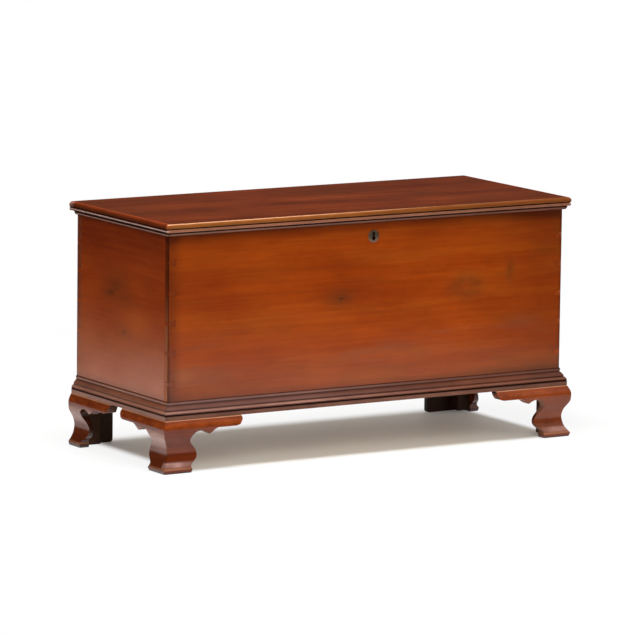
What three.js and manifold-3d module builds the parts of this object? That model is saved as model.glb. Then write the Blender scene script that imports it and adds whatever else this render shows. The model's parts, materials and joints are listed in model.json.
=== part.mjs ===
// Blanket chest: a dovetailed case on a moulded base frame with ogee bracket feet,
// under a moulded lid on two butt hinges, closed by a half-mortise lock.
// Millimetres. +X is the right end seen from the front, -Y the front, +Z up, the floor at zero.

import * as THREE from 'three';
import { mergeVertices } from 'three/addons/utils/BufferGeometryUtils.js';
import Module from 'manifold-3d';

const wasm = await Module();
wasm.setup();

// Case
const caseWidth = 1230;
const caseDepth = 490;
const boardHeight = 480;
const boardThickness = 20;
const tailCount = 6;
const pinNarrow = 10;
const pinWide = 18;
const plankCount = 3;
const plankThickness = 15;

// Base frame, base moulding and rim moulding
const footHeight = 140;
const railHeight = 13;
const railWidth = 60;
const railProjection = 16.5;
const baseMouldingHeight = 34;
const baseMouldingProjection = 15.5;
const rimMouldingHeight = 10;
const rimMouldingProjection = 10;

// Ogee bracket feet, plain rear brackets and the blocks glued in the corners
const bracketGap = 60;
const bracketBulge = 25.2;
const bracketBackset = 5;
const rearBracketThickness = 16;
const rearBracketInset = 2;
const rearBracketLengths = { left: 97, right: 115 };
const rearBracketRound = 10;
const cornerBlockWidth = 38;
const cornerBlockFloorGap = 5;

// Lid
const lidThickness = 24;
const lidOverhang = 18;
const lidRearOverhang = 14;
const lidRound = 9;

// Butt hinges
const hingeInset = 205;
const hingeLength = 50;
const leafWidth = 17;
const leafThickness = 1.8;
const barrelRadius = 3.5;
const barrelOffset = 3.9;
const hingePinRadius = 1.5;
const hingePinHead = 1.2;
const knuckleCount = 5;
const knuckleGap = 0.3;
const notchClearance = 0.5;

// Lock, keyhole and escutcheon
const lockOffset = 11;
const keyDrop = 47;
const lockPlateWidth = 96;
const lockPlateHeight = 84;
const lockPlateThickness = 2;
const selvageDepth = 16;
const lockCaseWidth = 76;
const lockCaseHeight = 70;
const lockCaseDepth = 11;
const lockCaseWall = 1.2;
const boltThickness = 3;
const boltHeight = 8;
const boltDrop = 16;
const boltTail = 44;
const boltArmWidth = 16;
const boltArmDrop = 14;
const talonWidth = 7;
const talonDepth = 6;
const boltSetback = 1;
const springThickness = 0.8;
const springSpan = 34;
const catchOffset = 24;
const catchPlateLength = 44;
const catchPlateWidth = 15;
const catchPlateThickness = 2;
const catchLugThickness = 4;
const catchLugWidth = 7.4;
const catchLugDrop = 24;
const catchEyeWidth = 4.4;
const catchEyeHeight = 10;
const catchClearance = 1.2;
const escutcheonRadius = 17;
const escutcheonThickness = 1.6;
const escutcheonBevel = 1;
const keyTopRadius = 4.1;
const keyTopHeight = 8.5;
const keySlotHalfWidth = 3.2;
const keyFootRadius = 5.7;
const keyFootDrop = 5;

// Screws and escutcheon pins
const screwHeadRadius = 3.3;
const screwHeadDepth = 1.6;
const screwShankRadius = 1.6;
const screwLength = 14;
const screwTip = 4;
const screwSlotWidth = 0.9;
const screwSlotDepth = 0.8;
const screwSink = 0.1;
const pinHeadRadius = 1.5;
const pinHeadHeight = 0.8;
const pinShankRadius = 0.7;
const pinLength = 8;
const pinSpread = 12.5;

// Gaps and cutting
const seat = 0.3;
const overrun = 3;
const weld = 0.001;
const roundSides = 20;
const screwSides = 12;

// Outlines as shares of the sizes that they follow: [projection, height]
const baseProfileShares = [
  [0, 0], [1, 0], [1, 0.10], [0.92, 0.19], [0.79, 0.26], [0.68, 0.30], [0.56, 0.32], [0.56, 0.35],
  [0.63, 0.36], [0.60, 0.42], [0.49, 0.50], [0.335, 0.59], [0.16, 0.68], [0.06, 0.70], [0.06, 0.75],
  [0.13, 0.78], [0.15, 0.85], [0.13, 0.96], [0.06, 1], [0, 1],
];
const rimProfileShares = [
  [0, 0], [0.50, 0], [0.64, 0.08], [0.80, 0.22], [0.92, 0.42], [1, 0.68], [0.99, 0.90], [0.92, 1], [0, 1],
];
const lidBeadShares = [
  [0.80, 0], [0.90, 0.03], [0.95, 0.10], [0.965, 0.19], [0.95, 0.28], [0.90, 0.35], [0.85, 0.375],
  [0.85, 0.43], [0.96, 0.44], [1, 0.48],
];
// The ogee of the feet from the floor up, and the bracket's sawn edge from the inner end to the floor
const ogeeShares = [
  [0.850, 0], [0.950, 0.056], [0.925, 0.081], [0.679, 0.141], [0.433, 0.222], [0.310, 0.304], [0.250, 0.385],
  [0.313, 0.467], [0.468, 0.548], [0.734, 0.630], [0.913, 0.689], [0.976, 0.748], [1, 0.830], [0.925, 0.904],
  [0.655, 1],
];
const bracketEndShares = [[0.991, 1], [1, 0.948], [0.975, 0.880], [0.953, 0.837], [0.902, 0.815]];
const bracketStepShares = [[0.647, 0.815], [0.605, 0.790], [0.565, 0.745], [0.526, 0.707]];
const bracketArchShares = [
  [0.526, 0.707], [0.465, 0.756], [0.391, 0.781], [0.325, 0.752], [0.283, 0.685], [0.272, 0.610],
  [0.298, 0.540], [0.340, 0.472], [0.375, 0.402], [0.388, 0.330], [0.377, 0.262], [0.337, 0.200],
  [0.294, 0.155], [0.277, 0.108], [0.286, 0.052], [0.275, 0],
];

// Levels and faces worked out from the sizes above
const railTop = footHeight + railHeight;
const rimLevel = railTop + boardHeight;
const lidLevel = rimLevel + seat;
const lidTop = rimLevel + lidThickness;
const bracketLength = (caseDepth - bracketGap) / 2;
const halfWidth = caseWidth / 2;
const halfDepth = caseDepth / 2;
const innerHalfWidth = halfWidth - boardThickness;
const innerHalfDepth = halfDepth - boardThickness;
const boardBottom = railTop + seat;
const mitreSeat = seat * Math.SQRT1_2;
const hingeAxisY = halfDepth + barrelOffset;
const hingeAxisZ = rimLevel + seat / 2;
const keyLevel = rimLevel - keyDrop;
const plateBack = -innerHalfDepth - lockPlateThickness;
const lockCentreY = plateBack - (lockCaseDepth - lockCaseWall) / 2;
const catchX = lockOffset + catchOffset;
const boltX = catchX - catchLugThickness / 2 - boltSetback;
const boltTop = rimLevel - boltDrop + boltHeight / 2;

function finish(color, roughness, metalness) {
  return new THREE.MeshStandardMaterial({ color, roughness, metalness });
}

const cherry = finish(0x8c3f14, 0.35, 0);
const darkCherry = finish(0x5e2814, 0.4, 0);
const lidCherry = finish(0x6d3520, 0.4, 0);
const secondaryWood = finish(0x9a7a52, 0.7, 0);
const agedBrass = finish(0x6f604c, 0.5, 0.8);
const iron = finish(0x4a4541, 0.55, 0.85);

const chest = new THREE.Group();
chest.name = 'blanket_chest';
// The box of the whole chest is centred on the origin, front feet to the lid's rear edge
chest.position.y = (bracketBulge - lidRearOverhang) / 2;

function solidOf(geometry) {
  geometry.deleteAttribute('normal');
  geometry.deleteAttribute('uv');
  const welded = mergeVertices(geometry, weld);
  return new wasm.Manifold(new wasm.Mesh({
    numProp: 3,
    vertProperties: new Float32Array(welded.attributes.position.array),
    triVerts: new Uint32Array(welded.index.array),
  }));
}

function geometryOf(solid) {
  const mesh = solid.getMesh();
  const geometry = new THREE.BufferGeometry();
  geometry.setAttribute('position', new THREE.BufferAttribute(new Float32Array(mesh.vertProperties), 3));
  geometry.setIndex(new THREE.BufferAttribute(new Uint32Array(mesh.triVerts), 1));
  return geometry;
}

function cut(geometry, tools) {
  let solid = solidOf(geometry);
  for (const tool of tools) solid = solid.subtract(solidOf(tool));
  return geometryOf(solid);
}

function join(pieces) {
  let solid = solidOf(pieces[0]);
  for (const piece of pieces.slice(1)) solid = solid.add(solidOf(piece));
  return geometryOf(solid);
}

function common(one, other) {
  return geometryOf(solidOf(one).intersect(solidOf(other)));
}

// A block between two corners given along each axis
function block(x, y, z) {
  const box = new THREE.BoxGeometry(x[1] - x[0], y[1] - y[0], z[1] - z[0]);
  return box.translate((x[0] + x[1]) / 2, (y[0] + y[1]) / 2, (z[0] + z[1]) / 2);
}

// A round bar along X between two places
function roundBar(radius, x, y, z) {
  const bar = new THREE.CylinderGeometry(radius, radius, x[1] - x[0], roundSides);
  return bar.rotateZ(Math.PI / 2).translate((x[0] + x[1]) / 2, y, z);
}

// A turned solid whose profile of [radius, height] runs from its foot to its top, axis along Y
function turned(profile, sides) {
  return new THREE.LatheGeometry(profile.map(([r, h]) => new THREE.Vector2(r, h)), sides);
}

function shapeOf(points) {
  return new THREE.Shape(points.map(([x, y]) => new THREE.Vector2(x, y)));
}

function extruded(shape, length, curveSegments = 2) {
  return new THREE.ExtrudeGeometry(shape, { depth: length, bevelEnabled: false, steps: 1, curveSegments });
}

// Outlines drawn in X and Z, Y and Z, or X and Y, run between two places on the third axis
function alongY(shape, y, curveSegments) {
  return extruded(shape, y[1] - y[0], curveSegments).rotateX(Math.PI / 2).translate(0, y[1], 0);
}

function alongX(shape, x, curveSegments) {
  const turn = new THREE.Matrix4().makeBasis(
    new THREE.Vector3(0, 1, 0), new THREE.Vector3(0, 0, 1), new THREE.Vector3(1, 0, 0));
  return extruded(shape, x[1] - x[0], curveSegments).applyMatrix4(turn).translate(x[0], 0, 0);
}

function alongZ(shape, z, curveSegments) {
  return extruded(shape, z[1] - z[0], curveSegments).translate(0, 0, z[0]);
}

function scaled(shares, width, height) {
  return shares.map(([across, up]) => [across * width, up * height]);
}

function add(name, geometry, material, place = {}) {
  const mesh = new THREE.Mesh(geometry, material);
  mesh.name = name;
  mesh.position.set(place.x ?? 0, place.y ?? 0, place.z ?? 0);
  mesh.rotation.set(0, 0, place.turn ?? 0);
  chest.add(mesh);
  return mesh;
}

// A moulding along local X, its back on the plane y = 0 and its face towards -Y.
// A mitred end follows the projection of each point, so two runs meet at 45 degrees.
function mouldedRun(points, x, mitres) {
  const shape = shapeOf(points.map(([projection, height]) => [-projection, height]));
  const run = alongX(shape, x);
  const position = run.attributes.position;
  const middle = (x[0] + x[1]) / 2;
  for (let i = 0; i < position.count; i++) {
    const end = position.getX(i) < middle ? 0 : 1;
    const outward = end === 0 ? -1 : 1;
    if (mitres[end]) {
      position.setX(i, position.getX(i) + outward * (-position.getY(i) - mitreSeat));
    }
  }
  return run;
}

// A lathe-turned wood screw, head up at the origin, point down; extra widens it into its hole
function screwSolid(extra = 0, sides = screwSides) {
  const radius = screwShankRadius + extra;
  const profile = [
    [0, extra > 0 ? overrun : 0],
    [screwHeadRadius + extra, extra > 0 ? overrun : 0],
    [screwHeadRadius + extra, 0],
    [radius, -screwHeadDepth],
    [radius, -(screwLength - screwTip)],
    [0, -screwLength - extra],
  ];
  const points = extra > 0 ? profile : profile.filter((point, i) => i !== 1);
  return turned(points.reverse(), sides).rotateX(Math.PI / 2);
}

function slottedScrew() {
  const slot = block(
    [-screwHeadRadius - overrun, screwHeadRadius + overrun],
    [-screwSlotWidth / 2, screwSlotWidth / 2],
    [-screwSlotDepth, overrun]);
  return cut(screwSolid(), [slot]);
}

// Turns a screw or its hole from pointing down (-Z) to pointing up, or forward (-Y)
const pointing = {
  down: (geometry) => geometry,
  up: (geometry) => geometry.rotateX(Math.PI),
  forward: (geometry) => geometry.rotateX(-Math.PI / 2),
};

function screwAt(name, way, [x, y, z], material) {
  add(name, pointing[way](slottedScrew()).translate(x, y, z), material);
}

function screwHoleAt(way, [x, y, z]) {
  return pointing[way](screwSolid(seat)).translate(x, y, z);
}

// Hinges: two leaves with alternate knuckles on one pin, screwed into the back board and the lid
const hingeSides = [['left', hingeInset - halfWidth], ['right', halfWidth - hingeInset]];
const knuckleLength = (hingeLength - (knuckleCount - 1) * knuckleGap) / knuckleCount;
const leafScrewY = halfDepth - leafWidth / 2;
const leafScrewSpread = hingeLength / 4;
const boreRadius = hingePinRadius + seat / 2;

function leafScrewPlaces(centre, z) {
  return [centre - leafScrewSpread, centre + leafScrewSpread].map((x) => [x, leafScrewY, z]);
}

function hingeLeaf(centre, first, z, way, screwZ) {
  const plateX = [centre - hingeLength / 2, centre + hingeLength / 2];
  const pieces = [block(plateX, [halfDepth - leafWidth, halfDepth], z)];
  for (let i = first; i < knuckleCount; i += 2) {
    const start = centre - hingeLength / 2 + i * (knuckleLength + knuckleGap);
    const reach = [start, start + knuckleLength];
    pieces.push(block(reach, [halfDepth - leafThickness, hingeAxisY - (barrelRadius + boreRadius) / 2], z));
    pieces.push(roundBar(barrelRadius, reach, hingeAxisY, hingeAxisZ));
  }
  const bore = roundBar(boreRadius, [plateX[0] - overrun, plateX[1] + overrun], hingeAxisY, hingeAxisZ);
  const holes = leafScrewPlaces(centre, screwZ).map((place) => screwHoleAt(way, place));
  return cut(join(pieces), [bore, ...holes]);
}

const caseLeafZ = [rimLevel - leafThickness, rimLevel];
const lidLeafZ = [lidLevel, lidLevel + leafThickness];
const caseScrewZ = rimLevel - screwSink;
const lidScrewZ = lidLevel + screwSink;
const caseHingeCuts = [];
const lidHingeCuts = [];

for (const [side, centre] of hingeSides) {
  add(`hinge_${side}_case_leaf`, hingeLeaf(centre, 0, caseLeafZ, 'down', caseScrewZ), iron);
  add(`hinge_${side}_lid_leaf`, hingeLeaf(centre, 1, lidLeafZ, 'up', lidScrewZ), iron);

  const ends = [centre - hingeLength / 2, centre + hingeLength / 2];
  const head = [ends[1] + seat, ends[1] + seat + hingePinHead];
  const tailHead = [ends[0] - seat - hingePinHead, ends[0] - seat];
  const pin = join([
    roundBar(hingePinRadius, [tailHead[0], head[1]], hingeAxisY, hingeAxisZ),
    roundBar((barrelRadius + hingePinRadius) / 2, head, hingeAxisY, hingeAxisZ),
    roundBar((barrelRadius + hingePinRadius) / 2, tailHead, hingeAxisY, hingeAxisZ),
  ]);
  add(`hinge_${side}_pin`, pin, iron);

  leafScrewPlaces(centre, caseScrewZ).forEach((place, i) => {
    screwAt(`hinge_${side}_case_screw_${i + 1}`, 'down', place, iron);
    caseHingeCuts.push(screwHoleAt('down', place));
  });
  leafScrewPlaces(centre, lidScrewZ).forEach((place, i) => {
    screwAt(`hinge_${side}_lid_screw_${i + 1}`, 'up', place, iron);
    lidHingeCuts.push(screwHoleAt('up', place));
  });

  const leafX = [ends[0] - seat, ends[1] + seat];
  const leafFront = halfDepth - leafWidth - seat;
  caseHingeCuts.push(block(leafX,
    [leafFront, halfDepth + overrun], [caseLeafZ[0] - seat, rimLevel + overrun]));
  lidHingeCuts.push(block(leafX,
    [leafFront, halfDepth + overrun], [lidLevel - overrun, lidLeafZ[1] + seat]));
  const notchX = [tailHead[0] - notchClearance, head[1] + notchClearance];
  const notchReach = barrelRadius + notchClearance;
  lidHingeCuts.push(block(notchX,
    [hingeAxisY - notchReach, halfDepth + lidRearOverhang + overrun],
    [lidLevel - overrun, hingeAxisZ + notchReach]));
}

// Lock: an angled plate let into the front board, a shallow case behind it, a sliding bolt and its spring
function keyholeCut(y) {
  const topAngle = Math.acos(keySlotHalfWidth / keyTopRadius);
  const footAngle = Math.acos(keySlotHalfWidth / keyFootRadius);
  const shape = new THREE.Shape();
  shape.absarc(lockOffset, keyLevel + keyTopHeight, keyTopRadius, -topAngle, Math.PI + topAngle, false);
  shape.absarc(lockOffset, keyLevel - keyFootDrop, keyFootRadius,
    Math.PI - footAngle, 2 * Math.PI + footAngle, false);
  shape.closePath();
  return alongY(shape, y, roundSides / 2);
}

const lockX = (half) => [lockOffset - half, lockOffset + half];
const plateZ = [rimLevel - lockPlateHeight, rimLevel];
const lockCaseTop = rimLevel - lockPlateThickness - seat;
const lockCaseZ = [lockCaseTop - lockCaseHeight, lockCaseTop];
const lockCaseY = [plateBack - seat - lockCaseDepth, plateBack - seat];
const lockScrewX = (lockPlateWidth + lockCaseWidth) / 4;
const lockScrewPlaces = [];
for (const side of [-1, 1]) {
  for (const z of [rimLevel - keyDrop / 2, plateZ[0] + screwHeadRadius * 2]) {
    lockScrewPlaces.push([lockOffset + side * lockScrewX, -innerHalfDepth - screwSink, z]);
  }
}
const lockHoles = () => lockScrewPlaces.map((place) => screwHoleAt('forward', place));

const catchSlot = (reach, z) => block(
  [catchX - catchLugThickness / 2 - catchClearance, catchX + catchLugThickness / 2 + catchClearance],
  [lockCentreY - catchLugWidth / 2 - reach, lockCentreY + catchLugWidth / 2 + reach], z);

const lockPlate = join([
  block(lockX(lockPlateWidth / 2), [plateBack, -innerHalfDepth], plateZ),
  block(lockX(lockPlateWidth / 2), [-innerHalfDepth - selvageDepth, -innerHalfDepth],
    [rimLevel - lockPlateThickness, rimLevel]),
]);
add('lock_plate', cut(lockPlate, [
  catchSlot(catchClearance, [rimLevel - lockPlateThickness - overrun, rimLevel + overrun]), ...lockHoles(),
]), iron);

const innerCase = block(lockX(lockCaseWidth / 2 - lockCaseWall),
  [lockCaseY[0] + lockCaseWall, lockCaseY[1] + overrun],
  [lockCaseZ[0] + lockCaseWall, lockCaseZ[1] + overrun]);
add('lock_case', cut(block(lockX(lockCaseWidth / 2), lockCaseY, lockCaseZ),
  [innerCase, keyholeCut([lockCaseY[0] - overrun, lockCaseY[0] + lockCaseWall + overrun])]), iron);

// The bolt is a bar with an arm down to the key, cut with a talon that the key's bit works in
const armLeft = lockOffset - boltArmWidth / 2;
const armBottom = boltTop - boltHeight - boltArmDrop;
const boltShape = shapeOf([
  [boltX - boltTail, boltTop - boltHeight], [armLeft, boltTop - boltHeight], [armLeft, armBottom],
  [lockOffset - talonWidth / 2, armBottom], [lockOffset - talonWidth / 2, armBottom + talonDepth],
  [lockOffset + talonWidth / 2, armBottom + talonDepth], [lockOffset + talonWidth / 2, armBottom],
  [armLeft + boltArmWidth, armBottom], [armLeft + boltArmWidth, boltTop - boltHeight],
  [boltX, boltTop - boltHeight], [boltX, boltTop], [boltX - boltTail, boltTop],
]);
const boltY = [lockCentreY - boltThickness / 2, lockCentreY + boltThickness / 2];
add('lock_bolt', alongY(boltShape, boltY), iron);

// The spring is a bowed strip between the selvage and the bolt
const springTop = lockCaseZ[1] - seat;
const springCrown = boltTop + seat;
const springX = boltX - catchClearance - springSpan / 2;
const springLine = (drop) => new THREE.QuadraticBezierCurve(
  new THREE.Vector2(springX - springSpan / 2, springTop - drop),
  new THREE.Vector2(springX, 2 * springCrown - springTop + 2 * springThickness - drop),
  new THREE.Vector2(springX + springSpan / 2, springTop - drop)).getPoints(roundSides / 2);
const springShape = new THREE.Shape([...springLine(springThickness), ...springLine(0).reverse()]);
add('lock_spring', alongY(springShape, boltY), iron);

lockScrewPlaces.forEach((place, i) => screwAt(`lock_screw_${i + 1}`, 'forward', place, iron));

const lockMortise = [
  block(lockX(lockPlateWidth / 2 + seat), [plateBack - seat, -innerHalfDepth + overrun],
    [plateZ[0] - seat, rimLevel + overrun]),
  block(lockX(lockPlateWidth / 2 + seat), [-innerHalfDepth - selvageDepth - seat, -innerHalfDepth + overrun],
    [rimLevel - lockPlateThickness - seat, rimLevel + overrun]),
  block(lockX(lockCaseWidth / 2 + seat), [lockCaseY[0] - seat, -innerHalfDepth + overrun],
    [lockCaseZ[0] - seat, rimLevel + overrun]),
];

// Catch: a plate let into the lid with a lug that drops into the lock and takes the bolt in its eye
const catchPlateZ = [lidLevel, lidLevel + catchPlateThickness];
const catchPlateX = [catchX - catchPlateLength / 2, catchX + catchPlateLength / 2];
const catchPlateY = [lockCentreY - catchPlateWidth / 2, lockCentreY + catchPlateWidth / 2];
const catchScrewPlaces = [-1, 1].map((side) => [
  catchX + side * (catchPlateLength / 2 - screwHeadRadius * 2), lockCentreY, lidLevel + screwSink]);
const eyeMiddle = boltTop - boltHeight / 2;
const lug = block([catchX - catchLugThickness / 2, catchX + catchLugThickness / 2],
  [lockCentreY - catchLugWidth / 2, lockCentreY + catchLugWidth / 2],
  [lidLevel - catchLugDrop, catchPlateZ[1]]);
const eye = block([catchX - catchLugThickness, catchX + catchLugThickness],
  [lockCentreY - catchEyeWidth / 2, lockCentreY + catchEyeWidth / 2],
  [eyeMiddle - catchEyeHeight / 2, eyeMiddle + catchEyeHeight / 2]);
const catchHoles = catchScrewPlaces.map((place) => screwHoleAt('up', place));
add('lock_catch', cut(join([block(catchPlateX, catchPlateY, catchPlateZ), lug]), [eye, ...catchHoles]), iron);
catchScrewPlaces.forEach((place, i) => screwAt(`catch_screw_${i + 1}`, 'up', place, iron));
const catchCuts = [
  block([catchPlateX[0] - seat, catchPlateX[1] + seat], [catchPlateY[0] - seat, catchPlateY[1] + seat],
    [lidLevel - overrun, catchPlateZ[1] + seat]),
  ...catchScrewPlaces.map((place) => screwHoleAt('up', place)),
];

// Escutcheon: a round plate with a bevelled rim and the keyhole, held by two small pins
const escutcheonBack = -halfDepth - seat;
const escutcheonDisc = turned([
  [0, 0], [escutcheonRadius, 0], [escutcheonRadius, escutcheonThickness - escutcheonBevel],
  [escutcheonRadius - escutcheonBevel, escutcheonThickness], [0, escutcheonThickness],
], 2 * roundSides)
  .rotateX(Math.PI).translate(lockOffset, escutcheonBack, keyLevel);
const escutcheonPinPlaces = [-1, 1].map((side) => [
  lockOffset + side * pinSpread, escutcheonBack - escutcheonThickness, keyLevel]);

function escutcheonPin(extra) {
  const profile = extra > 0
    ? [[0, overrun], [pinShankRadius + extra, overrun], [pinShankRadius + extra, -pinLength - extra],
      [0, -pinLength - extra]]
    : [[0, pinHeadHeight + seat], [pinHeadRadius / 2, pinHeadHeight + seat], [pinHeadRadius, seat],
      [pinShankRadius, seat], [pinShankRadius, -pinLength], [0, -pinLength]];
  return turned(profile.reverse(), screwSides).rotateX(Math.PI);
}

const pinHoles = () => escutcheonPinPlaces.map(([x, y, z]) => escutcheonPin(seat).translate(x, y, z));
const escutcheonReach = [escutcheonBack - escutcheonThickness - overrun, escutcheonBack + overrun];
add('escutcheon', cut(escutcheonDisc, [keyholeCut(escutcheonReach), ...pinHoles()]), agedBrass);
escutcheonPinPlaces.forEach(([x, y, z], i) => {
  add(`escutcheon_pin_${i + 1}`, escutcheonPin(0).translate(x, y, z), agedBrass);
});

// Case: dovetailed boards, tails on the front and back boards, pins on the end boards
const tailPitch = (rimLevel - boardBottom) / tailCount;

function tailBoardShape() {
  const root = innerHalfWidth - seat;
  const right = [];
  for (let i = 0; i < tailCount; i++) {
    const low = boardBottom + i * tailPitch;
    const high = low + tailPitch;
    right.push(
      [root, low + pinWide / 2 + seat], [halfWidth, low + pinNarrow / 2 + seat],
      [halfWidth, high - pinNarrow / 2 - seat], [root, high - pinWide / 2 - seat]);
  }
  const left = right.map(([x, z]) => [-x, z]).reverse();
  return shapeOf([
    [-root, boardBottom], [root, boardBottom], ...right, [root, rimLevel], [-root, rimLevel], ...left]);
}

// One pin of an end board, cut off where it passes the board's edge, as a shape in X and Z
function pinShape(side, middle) {
  const clip = (z) => Math.min(Math.max(z, boardBottom), rimLevel);
  return shapeOf([
    [side * innerHalfWidth, clip(middle - pinWide / 2)], [side * halfWidth, clip(middle - pinNarrow / 2)],
    [side * halfWidth, clip(middle + pinNarrow / 2)], [side * innerHalfWidth, clip(middle + pinWide / 2)]]);
}

function endBoard(side) {
  const x = side < 0 ? [-halfWidth, -innerHalfWidth] : [innerHalfWidth, halfWidth];
  const shoulder = innerHalfDepth - seat;
  const pieces = [block(x, [-shoulder, shoulder], [boardBottom, rimLevel])];
  for (let i = 0; i <= tailCount; i++) {
    pieces.push(alongY(pinShape(side, boardBottom + i * tailPitch), [-halfDepth, halfDepth]));
  }
  return join(pieces);
}

const keyholeInBoard = keyholeCut([-halfDepth - overrun, lockCaseY[0] + overrun]);
add('front_board', cut(alongY(tailBoardShape(), [-halfDepth, -innerHalfDepth]),
  [...lockMortise, keyholeInBoard, ...lockHoles(), ...pinHoles()]), cherry);
add('back_board', cut(alongY(tailBoardShape(), [innerHalfDepth, halfDepth]), caseHingeCuts), secondaryWood);
add('left_end_board', endBoard(-1), cherry);
add('right_end_board', endBoard(1), cherry);

// Bottom planks, lying on the base frame inside the case
const plankPitch = (2 * innerHalfDepth - seat) / plankCount;
for (let i = 0; i < plankCount; i++) {
  const start = -innerHalfDepth + seat + i * plankPitch;
  add(`bottom_plank_${i + 1}`, block(
    [-innerHalfWidth + seat, innerHalfWidth - seat], [start, start + plankPitch - seat],
    [boardBottom, boardBottom + plankThickness]), secondaryWood);
}

// Base frame: rails mitred at the front corners, the rear rail between the side rails
const railZ = [footHeight + seat, railTop];
const railOut = railProjection;
const railIn = railWidth - railProjection;
add('base_rail_front', alongZ(shapeOf([
  [-halfWidth - railOut + mitreSeat, -halfDepth - railOut],
  [halfWidth + railOut - mitreSeat, -halfDepth - railOut],
  [halfWidth - railIn - mitreSeat, -halfDepth + railIn],
  [-halfWidth + railIn + mitreSeat, -halfDepth + railIn],
]), railZ), darkCherry);
for (const [side, sign] of [['left', -1], ['right', 1]]) {
  add(`base_rail_${side}`, alongZ(shapeOf([
    [sign * (halfWidth + railOut), -halfDepth - railOut + mitreSeat],
    [sign * (halfWidth + railOut), halfDepth],
    [sign * (halfWidth - railIn), halfDepth],
    [sign * (halfWidth - railIn), -halfDepth + railIn + mitreSeat],
  ]), railZ), darkCherry);
}
add('base_rail_back', block([-halfWidth + railIn + seat, halfWidth - railIn - seat],
  [halfDepth - railWidth, halfDepth], railZ), secondaryWood);

// Mouldings round the foot of the case and round its rim, on the front and both ends
const turns = { front: 0, left: -Math.PI / 2, right: Math.PI / 2 };
function mouldingSet(name, shares, projection, height, level, material) {
  const points = scaled(shares, projection, height);
  const front = mouldedRun(points, [-halfWidth, halfWidth], [true, true]);
  add(`${name}_front`, front, material, { y: -halfDepth - seat, z: level });
  const left = mouldedRun(points, [-halfDepth, halfDepth], [false, true]);
  add(`${name}_left`, left, material, { x: -halfWidth - seat, z: level, turn: turns.left });
  const right = mouldedRun(points, [-halfDepth, halfDepth], [true, false]);
  add(`${name}_right`, right, material, { x: halfWidth + seat, z: level, turn: turns.right });
}
mouldingSet('base_moulding', baseProfileShares, baseMouldingProjection, baseMouldingHeight,
  boardBottom, darkCherry);
mouldingSet('rim_moulding', rimProfileShares, rimMouldingProjection, rimMouldingHeight,
  rimLevel - rimMouldingHeight, darkCherry);

// Ogee brackets: the moulded section sawn to the bracket's outline
const ogeeLine = new THREE.SplineCurve(
  scaled(ogeeShares, bracketBulge, footHeight).map(([p, z]) => new THREE.Vector2(p, z)))
  .getPoints(ogeeShares.length + roundSides / 2).map((point) => [point.x, point.y]);
const ogeeSection = [[-bracketBackset, 0], ...ogeeLine, [-bracketBackset, footHeight]];

// The sawn outline, from the corner inward; hand -1 mirrors it
function bracketOutline(hand) {
  const place = ([along, up]) => new THREE.Vector2(hand * along * bracketLength, up * footHeight);
  const corner = -hand * (bracketBulge + overrun);
  const shape = new THREE.Shape();
  shape.moveTo(corner, -overrun);
  shape.lineTo(corner, footHeight + overrun);
  shape.lineTo(place(bracketEndShares[0]).x, footHeight + overrun);
  for (const run of [bracketEndShares, bracketStepShares]) {
    const [first, ...rest] = run.map(place);
    shape.lineTo(first.x, first.y);
    shape.splineThru(rest);
  }
  shape.splineThru(bracketArchShares.slice(1).map(place));
  shape.lineTo(place(bracketArchShares.at(-1)).x, -overrun);
  shape.closePath();
  return shape;
}

function ogeeBracket(hand, mitred) {
  const x = hand > 0 ? [0, bracketLength + overrun] : [-bracketLength - overrun, 0];
  const mitres = hand > 0 ? [mitred, false] : [false, mitred];
  const run = mouldedRun(ogeeSection, x, mitres);
  const outline = alongY(bracketOutline(hand), [-bracketBulge - overrun, bracketBackset + overrun]);
  return common(run, outline);
}

const bracketPlaces = [
  ['foot_front_left_face', -1, -1, 0, 1, true],
  ['foot_front_right_face', 1, -1, 0, -1, true],
  ['foot_front_left_side', -1, -1, turns.left, -1, true],
  ['foot_front_right_side', 1, -1, turns.right, 1, true],
  ['foot_rear_left_side', -1, 1, turns.left, 1, false],
  ['foot_rear_right_side', 1, 1, turns.right, -1, false],
];
for (const [name, sideX, sideY, turn, hand, mitred] of bracketPlaces) {
  add(name, ogeeBracket(hand, mitred), darkCherry, { x: sideX * halfWidth, y: sideY * halfDepth, turn });
}

// Plain rear brackets between the side brackets, and the glue blocks in the four corners
const rearBracketY = [halfDepth - rearBracketInset - rearBracketThickness, halfDepth - rearBracketInset];
const blockStart = bracketBackset + seat;
for (const [side, sign] of [['left', -1], ['right', 1]]) {
  const outer = sign * (halfWidth - blockStart);
  const inner = outer - sign * rearBracketLengths[side];
  const shape = new THREE.Shape();
  shape.moveTo(outer, 0);
  shape.lineTo(outer, footHeight);
  shape.lineTo(inner, footHeight);
  shape.lineTo(inner, rearBracketRound);
  shape.quadraticCurveTo(inner, 0, inner + sign * rearBracketRound, 0);
  shape.closePath();
  add(`foot_rear_${side}_back`, alongY(shape, rearBracketY, roundSides / 2), secondaryWood);

  const blockX = [outer, outer - sign * cornerBlockWidth].sort((a, b) => a - b);
  const blockZ = [cornerBlockFloorGap, footHeight];
  const frontY = -halfDepth + blockStart;
  const rearY = rearBracketY[0] - seat;
  const frontBlock = block(blockX, [frontY, frontY + cornerBlockWidth], blockZ);
  const rearBlock = block(blockX, [rearY - cornerBlockWidth, rearY], blockZ);
  add(`corner_block_front_${side}`, frontBlock, secondaryWood);
  add(`corner_block_rear_${side}`, rearBlock, secondaryWood);
}

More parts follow.
